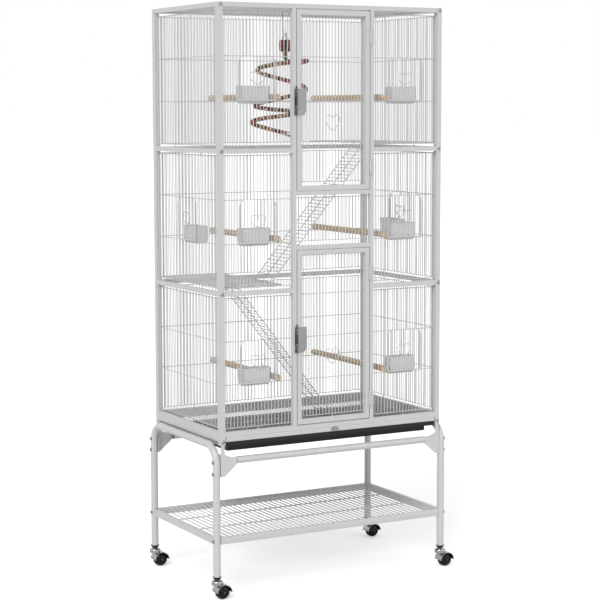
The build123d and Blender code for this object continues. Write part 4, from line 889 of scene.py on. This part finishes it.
def build_latch_bolts():
    """Latch bolts: rod, tip, knob and a real coiled spring, with heights from the bolt's lower end."""
    x, y = -0.1295, -0.2355
    rod_radius, rod_low, rod_high = 0.0017, 0.0095, 0.0850
    tip_heights = (0, 0.0012, 0.0090, 0.0100)
    tip_widths = (0.0013, 0.0021, 0.0021, 0.0017)
    knob_level, knob_half_height, knob_radius = 0.0832, 0.0028, 0.0030
    coils, coil_steps = 11, 14
    spring_low, spring_length, coil_radius, spring_wire = 0.029, 0.026, 0.0024, 0.00045
    upward = (0, 0, 1.0)
    turns = np.linspace(0, coils * 2 * np.pi, coils * coil_steps + 1)
    knob_turn = np.linspace(0.05, np.pi - 0.05, 12)
    knob_heights, knob_widths = -knob_half_height * np.cos(knob_turn), knob_radius * np.sin(knob_turn)
    for name, low in (("upper", 1.425), ("lower", 0.719)):
        rise = low + spring_low + spring_length * turns / turns[-1]
        spring = np.stack((x + coil_radius * np.cos(turns), y + coil_radius * np.sin(turns), rise), axis=-1)
        rod = rods((x, y, low + rod_low), (x, y, low + rod_high), rod_radius, 16)
        tip = turned((x, y, low), upward, tip_heights, tip_widths)
        knob = turned((x, y, low + knob_level), upward, knob_heights, knob_widths)
        coil = tube_along(spring, upward, spring_wire, 6)
        bolt = joined(rod, tip, knob, coil)
        piece(f"{name}_bolt_and_spring", bolt, f"{name}_bolt", "dark_steel", [f"{name}_latch_bolt"])


build_walls()
build_flat_nets()
build_feeder_doors()
build_swinging_doors()
build_platforms()
build_ramps()
build_rope()
build_bundle()
build_rope_fittings()
build_latch_bolts()


# Floor, light and camera
def pale_floor():
    """A wide pale floor, a little brighter to the camera than it lights the cage."""
    reach = 60.0
    camera_lift = 0.36
    corners = [(-reach, -reach, 0), (reach, -reach, 0), (reach, reach, 0), (-reach, reach, 0)]
    mesh = bpy.data.meshes.new("floor")
    mesh.from_pydata(corners, [], [(0, 1, 2, 3)])
    material = bpy.data.materials.new("pale_floor")
    material.use_nodes = True
    nodes, link = material.node_tree.nodes, material.node_tree.links.new
    shader = nodes["Principled BSDF"]
    shader.inputs["Base Color"].default_value = (0.9, 0.9, 0.9, 1)
    shader.inputs["Roughness"].default_value = 0.95
    shader.inputs["Specular IOR Level"].default_value = 0.1
    shader.inputs["Emission Color"].default_value = (1, 1, 1, 1)
    rays = nodes.new("ShaderNodeLightPath")
    lift = nodes.new("ShaderNodeMath")
    lift.operation = "MULTIPLY"
    lift.inputs[1].default_value = camera_lift
    link(rays.outputs["Is Camera Ray"], lift.inputs[0])
    link(lift.outputs[0], shader.inputs["Emission Strength"])
    mesh.materials.append(material)
    floor = bpy.data.objects.new("floor", mesh)
    bpy.context.scene.collection.objects.link(floor)


def pale_world():
    """White to the camera and in reflections, and softer where it lights the cage."""
    world = bpy.data.worlds.new("studio")
    world.use_nodes = True
    nodes, link = world.node_tree.nodes, world.node_tree.links.new
    back = nodes["Background"]
    back.inputs["Color"].default_value = (1, 1, 1, 1)
    rays = nodes.new("ShaderNodeLightPath")
    seen = nodes.new("ShaderNodeMath")
    seen.operation = "MAXIMUM"
    link(rays.outputs["Is Camera Ray"], seen.inputs[0])
    link(rays.outputs["Is Glossy Ray"], seen.inputs[1])
    seen_or_through = nodes.new("ShaderNodeMath")
    seen_or_through.operation = "MAXIMUM"
    link(seen.outputs[0], seen_or_through.inputs[0])
    link(rays.outputs["Is Transmission Ray"], seen_or_through.inputs[1])
    strength = nodes.new("ShaderNodeMapRange")
    strength.inputs["To Min"].default_value = 0.55
    strength.inputs["To Max"].default_value = 1.0
    link(seen_or_through.outputs[0], strength.inputs["Value"])
    link(strength.outputs["Result"], back.inputs["Strength"])
    bpy.context.scene.world = world


def soft_sun(name, strength, turn, angle):
    """A sun with its turn and its width in degrees."""
    lamp = bpy.data.lights.new(name, "SUN")
    lamp.energy = strength
    lamp.angle = radians(angle)
    sun = bpy.data.objects.new(name, lamp)
    sun.rotation_euler = [radians(value) for value in turn]
    bpy.context.scene.collection.objects.link(sun)


pale_floor()
pale_world()
soft_sun("key_light", 1.6, (48, 0, -50), 25)
soft_sun("fill_light", 0.35, (60, 0, 40), 40)
soft_sun("glint", 0.12, (52, 0, -38), 3)

# The camera that was fitted to the photo: its focal length in pixels, its place and its turn in degrees
focal_pixels, photo_width = 1762.6, 600
camera_place = (middle_x - 2.6435, -4.8004, 1.4415)
camera_turn = (90 - 6.16, 0.10, -28.95)
camera_data = bpy.data.cameras.new("camera")
camera_data.sensor_width = 36
camera_data.sensor_fit = "HORIZONTAL"
camera_data.lens = camera_data.sensor_width * focal_pixels / photo_width
camera = bpy.data.objects.new("camera", camera_data)
camera.location = camera_place
camera.rotation_euler = [radians(value) for value in camera_turn]
bpy.context.scene.collection.objects.link(camera)
bpy.context.scene.camera = camera
bpy.context.scene.view_settings.view_transform = "Standard"
